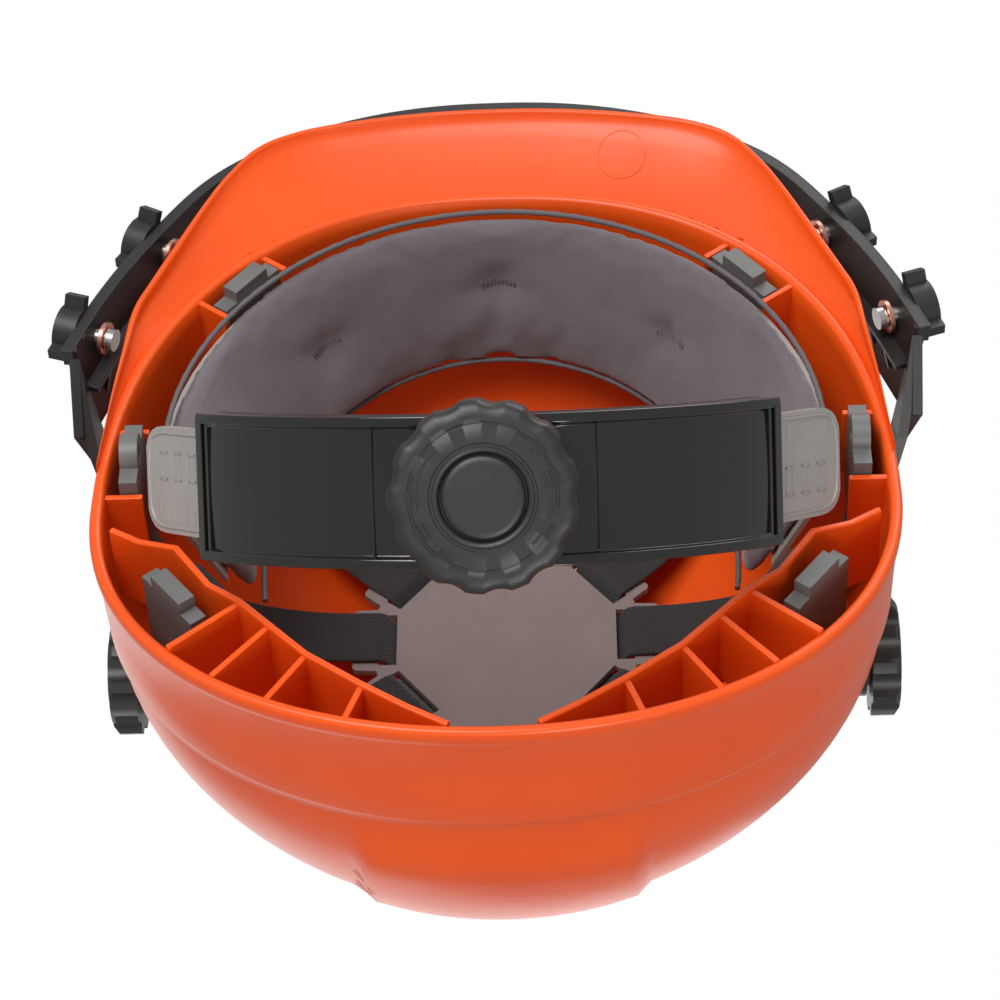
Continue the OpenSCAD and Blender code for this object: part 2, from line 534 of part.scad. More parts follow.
// Stations of an arm: y, z, inner face, half width and bearing of its width in the side view.
arm_bend = pivot_knob_d / 2 + 0.6;   // the arm stays flat under the knob this far from the pivot
arm_run = [[pivot_y, pivot_z, arm_x0, 8.5, -19], [pivot_y - arm_bend * cos(19), pivot_z - arm_bend * sin(19), arm_x0, 8, -19],
  [3, 67, arm_x0 + 2.6, 8, -34], [-4, 57, arm_x0 + 5, 8, -48], [-12, 43, shell_half_w, 8, -58], [-19, 28, shell_half_w + 4.4, 8.5, -66]];
function arm_section(a) = let (n = [sin(a[4]), cos(a[4])] * a[3])
  [[a[2], a[0] - n.x, a[1] - n.y], [a[2] + arm_t, a[0] - n.x, a[1] - n.y],
   [a[2] + arm_t, a[0] + n.x, a[1] + n.y], [a[2], a[0] + n.x, a[1] + n.y]];
module arm(flip) {
  p = wall_at(18);
  foot = [[p.x - 2.2, p.y + 1, carrier_z + 2], [p.x - 2.2 + arm_t, p.y + 1, carrier_z + 2],
    [p.x - 2.2 + arm_t, p.y + 14, carrier_z + carrier_h - 6], [p.x - 2.2, p.y + 14, carrier_z + carrier_h - 6]];
  color([0.08, 0.08, 0.08]) mirror_if(flip) difference() {
    union() {
      along_x([arm_x0, pivot_y, pivot_z]) cylinder(r = 12, h = arm_t);
      sweep(concat([for (a = arm_run) arm_section(a)], [foot]));
    }
    along_x([60, pivot_y, pivot_z]) cylinder(r = stud_r + run_fit, h = 80);
  }
}

// ---- side pivots -------------------------------------------------------------
module stud(flip) {
  color([0.7, 0.7, 0.7]) mirror_if(flip) along_x([nut_x - 1, pivot_y, pivot_z])
    cylinder(r = stud_r, h = knob_x0 + knob_t - 1.9 - nut_x + 1);
}
module stud_nut(flip) {
  color([0.6, 0.6, 0.6]) mirror_if(flip) along_x([nut_x, pivot_y, pivot_z]) difference() {
    cylinder(r = 6.6, h = 3, $fn = 6);
    translate([0, 0, -1]) cylinder(r = stud_r + run_fit, h = 8);
  }
}
module pivot_washer(flip) {
  color([0.5, 0.5, 0.5]) mirror_if(flip) along_x([arm_x0 + arm_t + 0.3, pivot_y, pivot_z]) difference() {
    cylinder(r = 9, h = 0.6);
    translate([0, 0, -1]) cylinder(r = stud_r + run_fit, h = 3);
  }
}
module pivot_knob(flip) {
  color([0.09, 0.09, 0.09]) mirror_if(flip) along_x([knob_x0, pivot_y, pivot_z]) difference() {
    union() {
      cylinder(d = pivot_knob_d, h = knob_t - 1.5);
      translate([0, 0, knob_t - 1.51]) cylinder(d1 = pivot_knob_d, d2 = pivot_knob_d - 4, h = 1.51);
    }
    for (i = [0 : 9]) rotate([0, 0, i * 36]) translate([pivot_knob_d / 2 + 2.6, 0, -1]) cylinder(r = 5, h = 14, $fn = 32);
    translate([0, 0, -1]) cylinder(r = stud_r + run_fit, h = knob_t - 0.3);
  }
}

shell();
stud(false);  // stud_left
stud(true);  // stud_right
stud_nut(false);  // stud_nut_left
stud_nut(true);  // stud_nut_right
clip(front_pos, clip_dir);  // clip_front_left
mirror([1, 0, 0]) clip(front_pos, clip_dir);  // clip_front_right
clip(mid_pos, 0, -2, true);  // clip_mid_left
mirror([1, 0, 0]) clip(mid_pos, 0, -2, true);  // clip_mid_right
clip(rear_pos, -clip_dir, -1);  // clip_rear_left
mirror([1, 0, 0]) clip(rear_pos, -clip_dir, -1);  // clip_rear_right
strap(0, mid_pos.x, mid_pos.x, 0, mid_pos.y);  // strap_cross
strap(clip_dir, front_r, rear_r, 1, 0);  // strap_diag_a
mirror([1, 0, 0]) strap(clip_dir, front_r, rear_r, 2, 0);  // strap_diag_b
crown_pad();
headband();
sweatband();
hanger(false);  // hanger_left
hanger(true);  // hanger_right
button(false);  // button_left
button(true);  // button_right
nape_housing();
nape_back();
lock_ring();
pinion();
adjuster_knob();
knob_cap();
tongue(1);  // tongue_left
tongue(-1);  // tongue_right
carrier();
arm(false);  // arm_left
arm(true);  // arm_right
screw(0, false);  // screw_front_left
screw(0, true);  // screw_front_right
screw(1, false);  // screw_side_left
screw(1, true);  // screw_side_right
washer(0, false);  // washer_front_left
washer(0, true);  // washer_front_right
washer(1, false);  // washer_side_left
washer(1, true);  // washer_side_right
thumb_nut(0, false);  // nut_front_left
thumb_nut(0, true);  // nut_front_right
thumb_nut(1, false);  // nut_side_left
thumb_nut(1, true);  // nut_side_right
screw_centre();
nut_centre();
pivot_washer(false);  // pivot_washer_left
pivot_washer(true);  // pivot_washer_right
pivot_knob(false);  // pivot_knob_left
pivot_knob(true);  // pivot_knob_right
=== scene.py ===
"""Forestry helmet lying ready for the wearer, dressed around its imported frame.

Every size is in metres. +Z is the crown, -Y the way the wearer faces and +X the wearer's left.
"""

from __future__ import annotations

import json
import logging
import math
import random
from dataclasses import dataclass, field
from enum import Enum
from typing import Any, Callable, Optional, Sequence, Union

import bmesh
import bpy
from mathutils import Matrix, Vector, noise

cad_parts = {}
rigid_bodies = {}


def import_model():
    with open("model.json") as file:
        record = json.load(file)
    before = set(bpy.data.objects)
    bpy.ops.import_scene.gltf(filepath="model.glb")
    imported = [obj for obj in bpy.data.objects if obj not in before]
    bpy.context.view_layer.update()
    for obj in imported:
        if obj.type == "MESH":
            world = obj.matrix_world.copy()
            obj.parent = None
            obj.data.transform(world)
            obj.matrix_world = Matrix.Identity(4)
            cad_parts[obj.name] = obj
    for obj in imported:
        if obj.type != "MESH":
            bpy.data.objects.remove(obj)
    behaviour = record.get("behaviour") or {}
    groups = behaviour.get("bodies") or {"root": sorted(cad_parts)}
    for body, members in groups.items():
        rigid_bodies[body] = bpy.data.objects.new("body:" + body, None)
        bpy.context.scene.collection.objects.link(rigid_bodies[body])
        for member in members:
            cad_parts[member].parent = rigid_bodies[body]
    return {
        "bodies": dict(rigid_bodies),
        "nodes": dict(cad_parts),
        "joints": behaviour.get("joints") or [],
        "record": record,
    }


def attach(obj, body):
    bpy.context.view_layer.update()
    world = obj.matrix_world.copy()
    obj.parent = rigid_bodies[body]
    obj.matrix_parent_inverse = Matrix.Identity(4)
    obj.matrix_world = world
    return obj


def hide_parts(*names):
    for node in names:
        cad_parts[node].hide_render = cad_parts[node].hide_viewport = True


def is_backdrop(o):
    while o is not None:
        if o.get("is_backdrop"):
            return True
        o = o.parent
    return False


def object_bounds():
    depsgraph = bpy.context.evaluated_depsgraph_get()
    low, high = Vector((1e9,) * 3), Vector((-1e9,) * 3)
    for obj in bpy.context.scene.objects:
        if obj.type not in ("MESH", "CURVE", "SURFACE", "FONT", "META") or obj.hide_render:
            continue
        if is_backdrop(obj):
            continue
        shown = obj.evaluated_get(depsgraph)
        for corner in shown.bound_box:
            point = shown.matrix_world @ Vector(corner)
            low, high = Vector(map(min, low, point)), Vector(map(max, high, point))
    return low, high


LOG = logging.getLogger("forestry_helmet")
MM = 0.001
Point = tuple[float, float, float]
Number = Union[float, int]


# ---- shader maths -----------------------------------------------------------
class Wire:
    """One output socket that can be used in sums, as if it were a number."""

    def __init__(self, paint: "Paint", socket: bpy.types.NodeSocket) -> None:
        """Keep the socket and the paint that it belongs to."""
        self.paint = paint
        self.socket = socket

    def _maths(self, operation: str, *values: Union["Wire", Number], clamp: bool = False) -> "Wire":
        """Add a Math node.

        Args:
            operation: the Math node's operation.
            values: its inputs, in order.
            clamp: whether the result is kept between 0 and 1.

        Returns:
            The node's result.
        """
        return self.paint.node("ShaderNodeMath", {"operation": operation, "use_clamp": clamp}, *values)

    def __add__(self, other: Union["Wire", Number]) -> "Wire":
        """Sum."""
        return self._maths("ADD", self, other)

    def __radd__(self, other: Number) -> "Wire":
        """Sum with the number first."""
        return self._maths("ADD", other, self)

    def __sub__(self, other: Union["Wire", Number]) -> "Wire":
        """Difference."""
        return self._maths("SUBTRACT", self, other)

    def __rsub__(self, other: Number) -> "Wire":
        """Difference with the number first."""
        return self._maths("SUBTRACT", other, self)

    def __mul__(self, other: Union["Wire", Number]) -> "Wire":
        """Product."""
        return self._maths("MULTIPLY", self, other)

    def __rmul__(self, other: Number) -> "Wire":
        """Product with the number first."""
        return self._maths("MULTIPLY", other, self)

    def __truediv__(self, other: Union["Wire", Number]) -> "Wire":
        """Quotient."""
        return self._maths("DIVIDE", self, other)

    def __pow__(self, other: Number) -> "Wire":
        """Power."""
        return self._maths("POWER", self, other)

    def __abs__(self) -> "Wire":
        """Size without sign."""
        return self._maths("ABSOLUTE", self)

    def wave(self) -> "Wire":
        """Sine of the value in radians."""
        return self._maths("SINE", self)

    def over(self, edge: Number) -> "Wire":
        """1 where the value is over the edge, else 0."""
        return self._maths("GREATER_THAN", self, edge)

    def smooth(self, low: Number, high: Number) -> "Wire":
        """Ramp from 0 at low to 1 at high with soft ends."""
        return self.paint.node("ShaderNodeMapRange", {"interpolation_type": "SMOOTHSTEP"}, self, low, high,
                               0.0, 1.0)

    def clamped(self) -> "Wire":
        """The value kept between 0 and 1."""
        return self._maths("ADD", self, 0.0, clamp=True)


class Paint:
    """Node tree of one material, built from Python expressions."""

    def __init__(self, name: str) -> None:
        """Start an empty material with a surface shader."""
        self.material = bpy.data.materials.new(name)
        self.material.use_nodes = True
        self.tree = self.material.node_tree
        self.tree.nodes.clear()
        self.out = self.tree.nodes.new("ShaderNodeOutputMaterial")
        self.skin = self.tree.nodes.new("ShaderNodeBsdfPrincipled")
        self.tree.links.new(self.skin.outputs[0], self.out.inputs[0])

    def node(self, kind: str, settings: Optional[dict[str, Any]] = None, *values: Any, out: Union[int, str] = 0,
             **named: Any) -> Wire:
        """Add any node.

        Args:
            kind: the node's type.
            settings: attributes set before the sockets; "stops" fills a colour ramp.
            values: values or wires of the sockets in order, None to leave one alone.
            out: which output to return.
            named: values or wires of sockets by name, with _ for a space.

        Returns:
            The chosen output.
        """
        made = self.tree.nodes.new(kind)
        for key, value in (settings or {}).items():
            if key == "stops":
                ramp = made.color_ramp
                while len(ramp.elements) < len(value):
                    ramp.elements.new(0.5)
                for element, (place, colour) in zip(ramp.elements, value):
                    element.position = place
                    element.color = (*colour, 1.0)
            else:
                setattr(made, key, value)
        for index, value in enumerate(values):
            if value is not None:
                self._feed(made.inputs[index], value)
        for key, value in named.items():
            self._feed(made.inputs[key.replace("_", " ")], value)
        return Wire(self, made.outputs[out])

    def _feed(self, socket: bpy.types.NodeSocket, value: Any) -> None:
        """Link a wire to a socket, or set its value."""
        if isinstance(value, Wire):
            self.tree.links.new(value.socket, socket)
        elif isinstance(value, tuple) and len(value) == 3 and socket.type == "RGBA":
            socket.default_value = (*value, 1.0)
        else:
            socket.default_value = value

    def place(self) -> Wire:
        """Position on the object, in metres."""
        return self.node("ShaderNodeTexCoord", out="Object")

    def parts(self, vector: Optional[Wire] = None) -> tuple[Wire, Wire, Wire]:
        """The three numbers of a vector, by default the position."""
        split = self.node("ShaderNodeSeparateXYZ", {}, vector or self.place())
        outs = split.socket.node.outputs
        return Wire(self, outs[0]), Wire(self, outs[1]), Wire(self, outs[2])

    def grain(self, scale: float, detail: float = 3.0, stretch: Optional[Point] = None) -> Wire:
        """Cloudy noise.

        Args:
            scale: how fine it is, per metre.
            detail: how many layers.
            stretch: factors along the three axes.

        Returns:
            Noise between 0 and 1.
        """
        where = self.place()
        if stretch:
            where = self.node("ShaderNodeMapping", {}, where, Scale=stretch)
        return self.node("ShaderNodeTexNoise", {}, where, Scale=scale, Detail=detail, Roughness=0.55)

    def angle_around(self, x: Wire, y: Wire) -> Wire:
        """Angle about the helmet's upright axis, in radians."""
        return self.node("ShaderNodeMath", {"operation": "ARCTAN2"}, x, y * -1.0)

    def blend(self, factor: Union[Wire, Number], first: Any, second: Any) -> Wire:
        """Mix two colours by a factor."""
        made = self.tree.nodes.new("ShaderNodeMix")
        made.data_type = "RGBA"
        self._feed(made.inputs[0], factor)
        self._feed(made.inputs[6], first)
        self._feed(made.inputs[7], second)
        return Wire(self, made.outputs[2])

    def ridge(self, height: Wire, strength: float, depth: float, under: Optional[Wire] = None) -> Wire:
        """Bump from a height.

        Args:
            height: the height field, about 0 to 1.
            strength: how much of it shows.
            depth: height of 1, in metres.
            under: a bump that this one lies on.

        Returns:
            The bent normal.
        """
        extra = {"Normal": under} if under else {}
        return self.node("ShaderNodeBump", {}, Strength=strength, Distance=depth, Height=height, **extra)

    def finish(self, colour: Any, rough: Any, normal: Optional[Wire] = None,
               **fixed: Any) -> bpy.types.Material:
        """Wire up the surface.

        Args:
            colour: base colour, plain or a wire.
            rough: roughness, plain or a wire.
            normal: the bent normal, if any.
            fixed: other sockets by name, with _ for a space, all plain.

        Returns:
            The finished material.
        """
        self._feed(self.skin.inputs["Base Color"], colour)
        self._feed(self.skin.inputs["Roughness"], rough)
        if normal:
            self._feed(self.skin.inputs["Normal"], normal)
        for key, value in fixed.items():
            self._feed(self.skin.inputs[key.replace("_", " ")], value)
        return self.material


# ---- finishes -----------------------------------------------------------------
@dataclass(frozen=True)
class MouldedOrange:
    """Orange shell plastic, a little soft to light."""

    colour: Point = (0.80, 0.088, 0.006)
    deep: Point = (0.66, 0.048, 0.003)
    rough: float = 0.3

    def make(self) -> bpy.types.Material:
        """Build the material."""
        p = Paint("moulded_orange")
        clouds = p.grain(26.0, 4.0)
        fine = p.grain(900.0, 2.0)
        flow = p.grain(60.0, 3.0, (1.0, 1.0, 0.25))
        tone = p.blend((clouds.smooth(0.3, 0.75)) * 0.22, self.colour, self.deep)
        rough = self.rough + clouds * 0.07 + fine * 0.05
        bump = p.ridge(flow, 0.12, 0.0006, p.ridge(fine, 0.10, 0.00008))
        return p.finish(tone, rough, bump, Coat_Weight=0.06, Coat_Roughness=0.12, Specular_IOR_Level=0.35,
                        Subsurface_Weight=0.06,
                        Subsurface_Radius=(1.0, 0.25, 0.05), Subsurface_Scale=0.006, IOR=1.5)


@dataclass(frozen=True)
class MouldedPlastic:
    """Hard plastic in one colour with moulding grain."""

    name: str
    colour: Point
    rough: float = 0.5
    grain: float = 0.25
    fine: float = 2600.0
    coat: float = 0.0
    mottle: float = 0.12

    def make(self) -> bpy.types.Material:
        """Build the material."""
        p = Paint(self.name)
        clouds = p.grain(45.0, 4.0)
        specks = p.grain(self.fine, 2.0)
        lighter = tuple(min(1.0, c * 1.35 + 0.002) for c in self.colour)
        tone = p.blend(clouds.smooth(0.35, 0.75) * self.mottle * 2.0, self.colour, lighter)
        rough = self.rough + (clouds - 0.5) * 0.12 + (specks - 0.5) * 0.06
        bump = p.ridge(specks, self.grain, 0.00012)
        return p.finish(tone, rough.clamped(), bump, Coat_Weight=self.coat, Coat_Roughness=0.05)


@dataclass(frozen=True)
class WovenCloth:
    """Fine plain weave."""

    name: str
    colour: Point
    light: Point
    pitch: float = 0.0009
    depth: float = 0.00022

    def make(self) -> bpy.types.Material:
        """Build the material."""
        p = Paint(self.name)
        x, y, z = p.parts()
        turn = p.angle_around(x, y)
        warp = (turn * (0.088 * math.tau / self.pitch)).wave()
        weft = (z * (math.tau / self.pitch)).wave()
        cells = warp * weft
        thread = abs(warp) * 0.5 + abs(weft) * 0.5
        worn = p.grain(38.0, 4.0)
        fuzz = p.grain(1500.0, 3.0)
        height = thread * 0.55 + cells * 0.2 + fuzz * 0.35
        tone = p.blend((cells * 0.28 + 0.42 + (worn - 0.5) * 0.5 + (fuzz - 0.5) * 0.5).clamped(), self.colour,
                       self.light)
        return p.finish(tone, (0.82 + (fuzz - 0.5) * 0.15).clamped(), p.ridge(height, 0.55, self.depth),
                        Sheen_Weight=0.35, Sheen_Roughness=0.5, Specular_IOR_Level=0.25)


@dataclass(frozen=True)
class Webbing:
    """Black woven strap with ribs across it."""

    colour: Point = (0.006, 0.006, 0.0065)
    light: Point = (0.03, 0.03, 0.032)

    def make(self) -> bpy.types.Material:
        """Build the material, which reads the strap's own map: u along and v across, in metres."""
        p = Paint("black_webbing")
        u, v, _ = p.parts(p.node("ShaderNodeUVMap", {"uv_map": "UVMap"}))
        along = (u * (math.tau / 0.0016)).wave()
        across = (v * (math.tau / 0.0011)).wave()
        weave = along * across
        fuzz = p.grain(1200.0, 3.0)
        height = weave * 0.5 + 0.5 + fuzz * 0.3
        tone = p.blend((weave * 0.35 + 0.35 + (fuzz - 0.5) * 0.6).clamped(), self.colour, self.light)
        return p.finish(tone, 0.7, p.ridge(height, 0.7, 0.0003), Sheen_Weight=0.3, Sheen_Roughness=0.45)


@dataclass(frozen=True)
class Metal:
    """Plated or turned metal."""

    name: str
    colour: Point
    rough: float = 0.28

    def make(self) -> bpy.types.Material:
        """Build the material."""
        p = Paint(self.name)
        scuff = p.grain(700.0, 3.0, (1.0, 6.0, 1.0))
        spots = p.grain(160.0, 4.0)
        darker = tuple(c * 0.6 for c in self.colour)
        tone = p.blend(spots.smooth(0.5, 0.8) * 0.4, self.colour, darker)
        return p.finish(tone, (self.rough + (scuff - 0.5) * 0.2).clamped(), p.ridge(scuff, 0.2, 0.00006),
                        Metallic=1.0)


# ---- mesh making ----------------------------------------------------------------
def spow(value: float, power: float) -> float:
    """Power that keeps the sign."""
    return math.copysign(abs(value) ** power, value)


def ease(value: float) -> float:
    """Soft step between 0 and 1."""
    t = max(0.0, min(1.0, value))
    return t * t * (3 - 2 * t)


def smooth_path(stops: Sequence[Sequence[float]], k: float) -> tuple[float, ...]:
    """Point of a smooth line through stops.

    Args:
        stops: the stops, of any number of values each.
        k: 0 at the first stop and 1 at the last.

    Returns:
        The values there.
    """
    last = len(stops) - 1
    place = max(0.0, min(last - 1e-9, k * last))
    i = int(place)
    t = place - i
    a, b, c, d = (stops[max(0, min(last, i + o))] for o in (-1, 0, 1, 2))
    return tuple(0.5 * (2 * q + (r - p) * t + (2 * p - 5 * q + 4 * r - w) * t * t
                        + (3 * q - p - 3 * r + w) * t ** 3)
                 for p, q, r, w in zip(a, b, c, d))


def between(a: Sequence[float], b: Sequence[float], t: float) -> Vector:
    """Point part way from a to b."""
    return Vector(a).lerp(Vector(b), t)


class Cast:
    """Growing mesh that becomes one piece."""

    def __init__(self, name: str) -> None:
        """Start empty."""
        self.name = name
        self.points: list[Vector] = []
        self.faces: list[tuple[int, ...]] = []
        self.marks: list[tuple[float, float]] = []

    def sheet(self, rows: Sequence[Sequence[Sequence[float]]], close_rows: bool = False,
              close_cols: bool = False) -> None:
        """Add a grid of points as quads.

        Args:
            rows: rows of points of equal length.
            close_rows: whether each row is a loop.
            close_cols: whether the last row joins the first.
        """
        base, n, m = len(self.points), len(rows[0]), len(rows)
        for row in rows:
            self.points.extend(Vector(p) for p in row)
        for i in range(m if close_cols else m - 1):
            for j in range(n if close_rows else n - 1):
                k, l = (i + 1) % m, (j + 1) % n
                self.faces.append((base + i * n + j, base + i * n + l, base + k * n + l, base + k * n + j))

    def tube(self, sections: Sequence[Sequence[Sequence[float]]], caps: bool = True) -> None:
        """Add a solid through closed sections of equal count."""
        base, n = len(self.points), len(sections[0])
        self.sheet(sections, close_rows=True)
        if caps:
            self.faces.append(tuple(base + j for j in reversed(range(n))))
            self.faces.append(tuple(base + (len(sections) - 1) * n + j for j in range(n)))

    def block(self, a: Sequence[float], b: Sequence[float], turn: Optional[Matrix] = None) -> None:
        """Add a box between two corners, moved by a matrix."""
        turn = turn or Matrix.Identity(4)
        low = [turn @ Vector((x, y, a[2])) for x, y in ((a[0], a[1]), (b[0], a[1]), (b[0], b[1]), (a[0], b[1]))]
        high = [turn @ Vector((x, y, b[2])) for x,
                y in ((a[0], a[1]), (b[0], a[1]), (b[0], b[1]), (a[0], b[1]))]
        self.tube([low, high])

    def slab(self, outline: Sequence[Sequence[float]], shift: Sequence[float]) -> None:
        """Add a flat plate from an outline and the shift to its other side."""
        self.tube([[Vector(p) for p in outline], [Vector(p) + Vector(shift) for p in outline]])

    def turned(self, profile: Sequence[tuple[float, float]], steps: int = 64, frame: Optional[Matrix] = None,
               wobble: Optional[Callable[[float, float, float], float]] = None) -> None:
        """Add a turned shape about Z.

        Args:
            profile: radius and height pairs from the middle of one end to the middle of the other.
            steps: how many points round.
            frame: where it stands.
            wobble: radius at an angle, given the angle, radius and height.
        """
        frame = frame or Matrix.Identity(4)
        rows = []
        for r, z in profile:
            row = []
            for i in range(steps):
                a = math.tau * i / steps
                rr = wobble(a, r, z) if wobble else r
                row.append(frame @ Vector((rr * math.cos(a), rr * math.sin(a), z)))
            rows.append(row)
        self.tube(rows, caps=True)

    def build(self, material: bpy.types.Material, sharp: float = 35.0, bevel: float = 0.0, weld: float = 0.0,
              steps: int = 2) -> bpy.types.Object:
        """Make the object.

        Args:
            material: its finish.
            sharp: angle in degrees over which an edge is shaded hard.
            bevel: width of rounded edges.
            weld: distance under which points are joined.
            steps: segments of the rounding.

        Returns:
            The object, linked to the scene.
        """
        mesh = bpy.data.meshes.new(self.name)
        mesh.from_pydata([tuple(p) for p in self.points], [], self.faces)
        work = bmesh.new()
        work.from_mesh(mesh)
        if weld:
            bmesh.ops.remove_doubles(work, verts=work.verts, dist=weld)
        bmesh.ops.recalc_face_normals(work, faces=work.faces)
        work.to_mesh(mesh)
        work.free()
        made = bpy.data.objects.new(self.name, mesh)
        bpy.context.scene.collection.objects.link(made)
        mesh.materials.append(material)
        soften(made, sharp, bevel, steps)
        return made


def soften(piece: bpy.types.Object, sharp: float = 35.0, bevel: float = 0.0, steps: int = 2) -> None:
    """Round and smooth a piece's edges.

    Args:
        piece: the object.
        sharp: angle in degrees over which an edge is shaded hard.
        bevel: width of rounded edges, 0 for none.
        steps: segments of the rounding.
    """
    for face in piece.data.polygons:
        face.use_smooth = True
    if bevel:
        round_off = piece.modifiers.new("edges", "BEVEL")
        round_off.width = bevel
        round_off.segments = steps
        round_off.limit_method = "ANGLE"
        round_off.angle_limit = math.radians(sharp)
        round_off.harden_normals = True
    else:
        piece.data.set_sharp_from_angle(angle=math.radians(sharp))


def settle(piece: bpy.types.Object, body: str, slot: str, *nodes: str) -> bpy.types.Object:
    """Fix a piece to its body and hide the frame's nodes that it replaces.

    Args:
        piece: the finished piece.
        body: the body that it moves with.
        slot: not used.
        nodes: the frame's nodes that it replaces.

    Returns:
        The piece.
    """
    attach(piece, body)
    if nodes:
        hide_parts(*nodes)
    LOG.info("%s rides on %s", piece.name, body)
    return piece


class Side(Enum):
    """The wearer's two sides."""

    LEFT = 1
    RIGHT = -1

    @property
    def word(self) -> str:
        """Name used at the end of node names."""
        return self.name.lower()


# ---- the shell --------------------------------------------------------------------
@dataclass
class Shell:
    """Orange shell with its peak, gussets, rear pockets and clip guides."""

    half_w: float = 0.115
    front: float = 0.132
    rear: float = 0.094
    centre_y: float = 0.034
    crown: float = 0.139
    wall: float = 0.0025
    ledge: float = 0.033
    squareness: float = 2.05
    rear_drop: float = 0.008
    front_z: float = -0.002
    step: float = 0.0026
    crest: float = 0.0028
    dome_side: float = 1.3
    pivot: tuple[float, float] = (0.028, 0.078)
    boss_face: float = 0.10455
    clip_places: tuple[tuple[float, float, float], ...] = ((0.09637, -38.1, 0.0), (0.10615, 7.578, 0.002))
    crest_half: float = 0.040
    around: int = 240

    def power(self, side: float) -> float:
        """Squareness of the plan ahead of (negative) or behind its widest line."""
        return self.squareness + (0.25 if side < 0 else 0.0)

    def oval(self, t: float, inset: float, k: float = 1.0, side: Optional[float] = None) -> Vector:
        """Point of the plan at an angle in degrees; side scales its width apart from its length."""
        c, s = math.cos(math.radians(t)), math.sin(math.radians(t))
        b = (self.front if s < 0 else self.rear) - inset
        p = 2 / self.power(s)
        wide = k if side is None else side
        return Vector((wide * (self.half_w - inset) * spow(c, p), self.centre_y + k * b * spow(s, p), 0))

    def rim(self, y: float) -> float:
        """Height of the rim at a place along the helmet."""
        if y > self.centre_y:
            return -self.rear_drop * ((y - self.centre_y) / self.rear) ** 2
        return self.front_z * ((self.centre_y - y) / self.front) ** 2

    def ring(self, inset: float, z: float, k: float = 1.0, on_rim: bool = False, rise: float = 0.0,
             lean: float = 0.0, side: Optional[float] = None) -> list[Vector]:
        """Ring of points.

        Args:
            inset: distance inside the plan.
            z: height, or height over the rim.
            k: scale of the plan.
            on_rim: whether z is measured from the rim.
            rise: how far the crown's band stands proud.
            lean: angle of the surface in degrees, 90 at the crown.
            side: scale of the width where it differs from k.

        Returns:
            The points.
        """
        made = []
        for i in range(self.around):
            p = self.oval(360 * i / self.around, inset, k, side)
            w = rise * ease((self.crest_half + 0.0012 - abs(p.x)) / 0.0026)
            a = math.radians(lean)
            out = math.copysign(1, p.y - self.centre_y)
            made.append(Vector((p.x, p.y + w * math.cos(a) * out,
                                (self.rim(p.y) + z if on_rim else z) + w * math.sin(a))))
        return made

    def skin_rows(self) -> list[list[Vector]]:
        """Rings from the outer crown down, round the rim and up inside."""
        z0 = self.ledge + 0.0004
        h = self.crown - self.step - z0
        outer = []
        angles = [88.5, 86, 83] + [80 - 3.2 * i for i in range(24)] + [2.0]
        for f in angles:
            s, c = math.sin(math.radians(f)), math.cos(math.radians(f))
            rise = self.crest * ease((f - 4.0) / 9.0)
            outer.append(self.ring(self.step, z0 + h * s, c, rise=rise, lean=f, side=c ** self.dome_side))
        outer += [self.ring(self.step, z0 + 0.0006), self.ring(self.step - 0.0005, z0 - 0.0001),
                  self.ring(0.0014, self.ledge - 0.0006), self.ring(0.0011, self.ledge - 0.0016)]
        outer += [self.ring(0.0009, self.ledge - 0.010), self.ring(0.0006, self.ledge - 0.018)]
        bead = [(0.0002, 0.0064), (-0.0001, 0.0056), (-0.0005, 0.0046), (-0.0006, 0.0036), (-0.0006, 0.0016),
                (-0.0003, 0.0006), (0.0004, 0.0001), (0.0014, 0.0), (0.0023, 0.0003),
                (self.wall + 0.0004, 0.0011)]
        rim = [self.ring(a, z, on_rim=True) for a, z in bead]
        inner = [self.ring(self.wall + 0.0006, 0.006, on_rim=True),
                 self.ring(self.wall + 0.0012, 0.016, on_rim=True),
                 self.ring(self.step + self.wall - 0.0006, self.ledge - 0.008),
                 self.ring(self.step + self.wall, self.ledge)]
        h_in = self.crown - self.step - self.wall - self.ledge
        for f in reversed(angles[:-1]):
            s, c = math.sin(math.radians(f)), math.cos(math.radians(f))
            inner.append(self.ring(self.step + self.wall, self.ledge + h_in * s, c, side=c ** self.dome_side))
        return outer + rim + inner

    def brim_stops(self) -> list[tuple[float, float, float]]:
        """Plan of the brim's edge on the wearer's left, with the bearing of the shell point it springs from."""
        return [(114.9, 18, 7.2), (114, 8, 11.4), (112.5, -10, 19.5), (110.5, -28, 28), (108.5, -44, 34),
                (104, -56, 39.5), (95, -77, 47.3), (89, -90.5, 52), (83, -102, 57.4), (74, -114, 63.1),
                (60, -121.5, 69.1), (40, -126, 76.4), (20, -128.5, 83.5), (0, -129.2, 90)]

    def brim_at(self, k: float) -> tuple[Vector, Vector, float, float]:
        """Root, edge and their heights along the brim.

        Args:
            k: 0 at one end of the brim and 1 at the other.

        Returns:
            Plan point of the root, plan point of the edge, height of the root and height of the edge.
        """
        half = self.brim_stops()
        stops = half + [(-x, y, 180 - t) for x, y, t in reversed(half[:-1])]
        x, y, t = smooth_path(stops, k)
        p = self.oval(-t, 0.001)
        q = Vector((x * MM, y * MM, 0))
        f = min(1.0, (self.centre_y - q.y) / 0.090)
        return p, q, 0.003 + 0.004 * f, 0.0024 - 0.0094 * min(1.0, (self.centre_y - q.y) / 0.150)

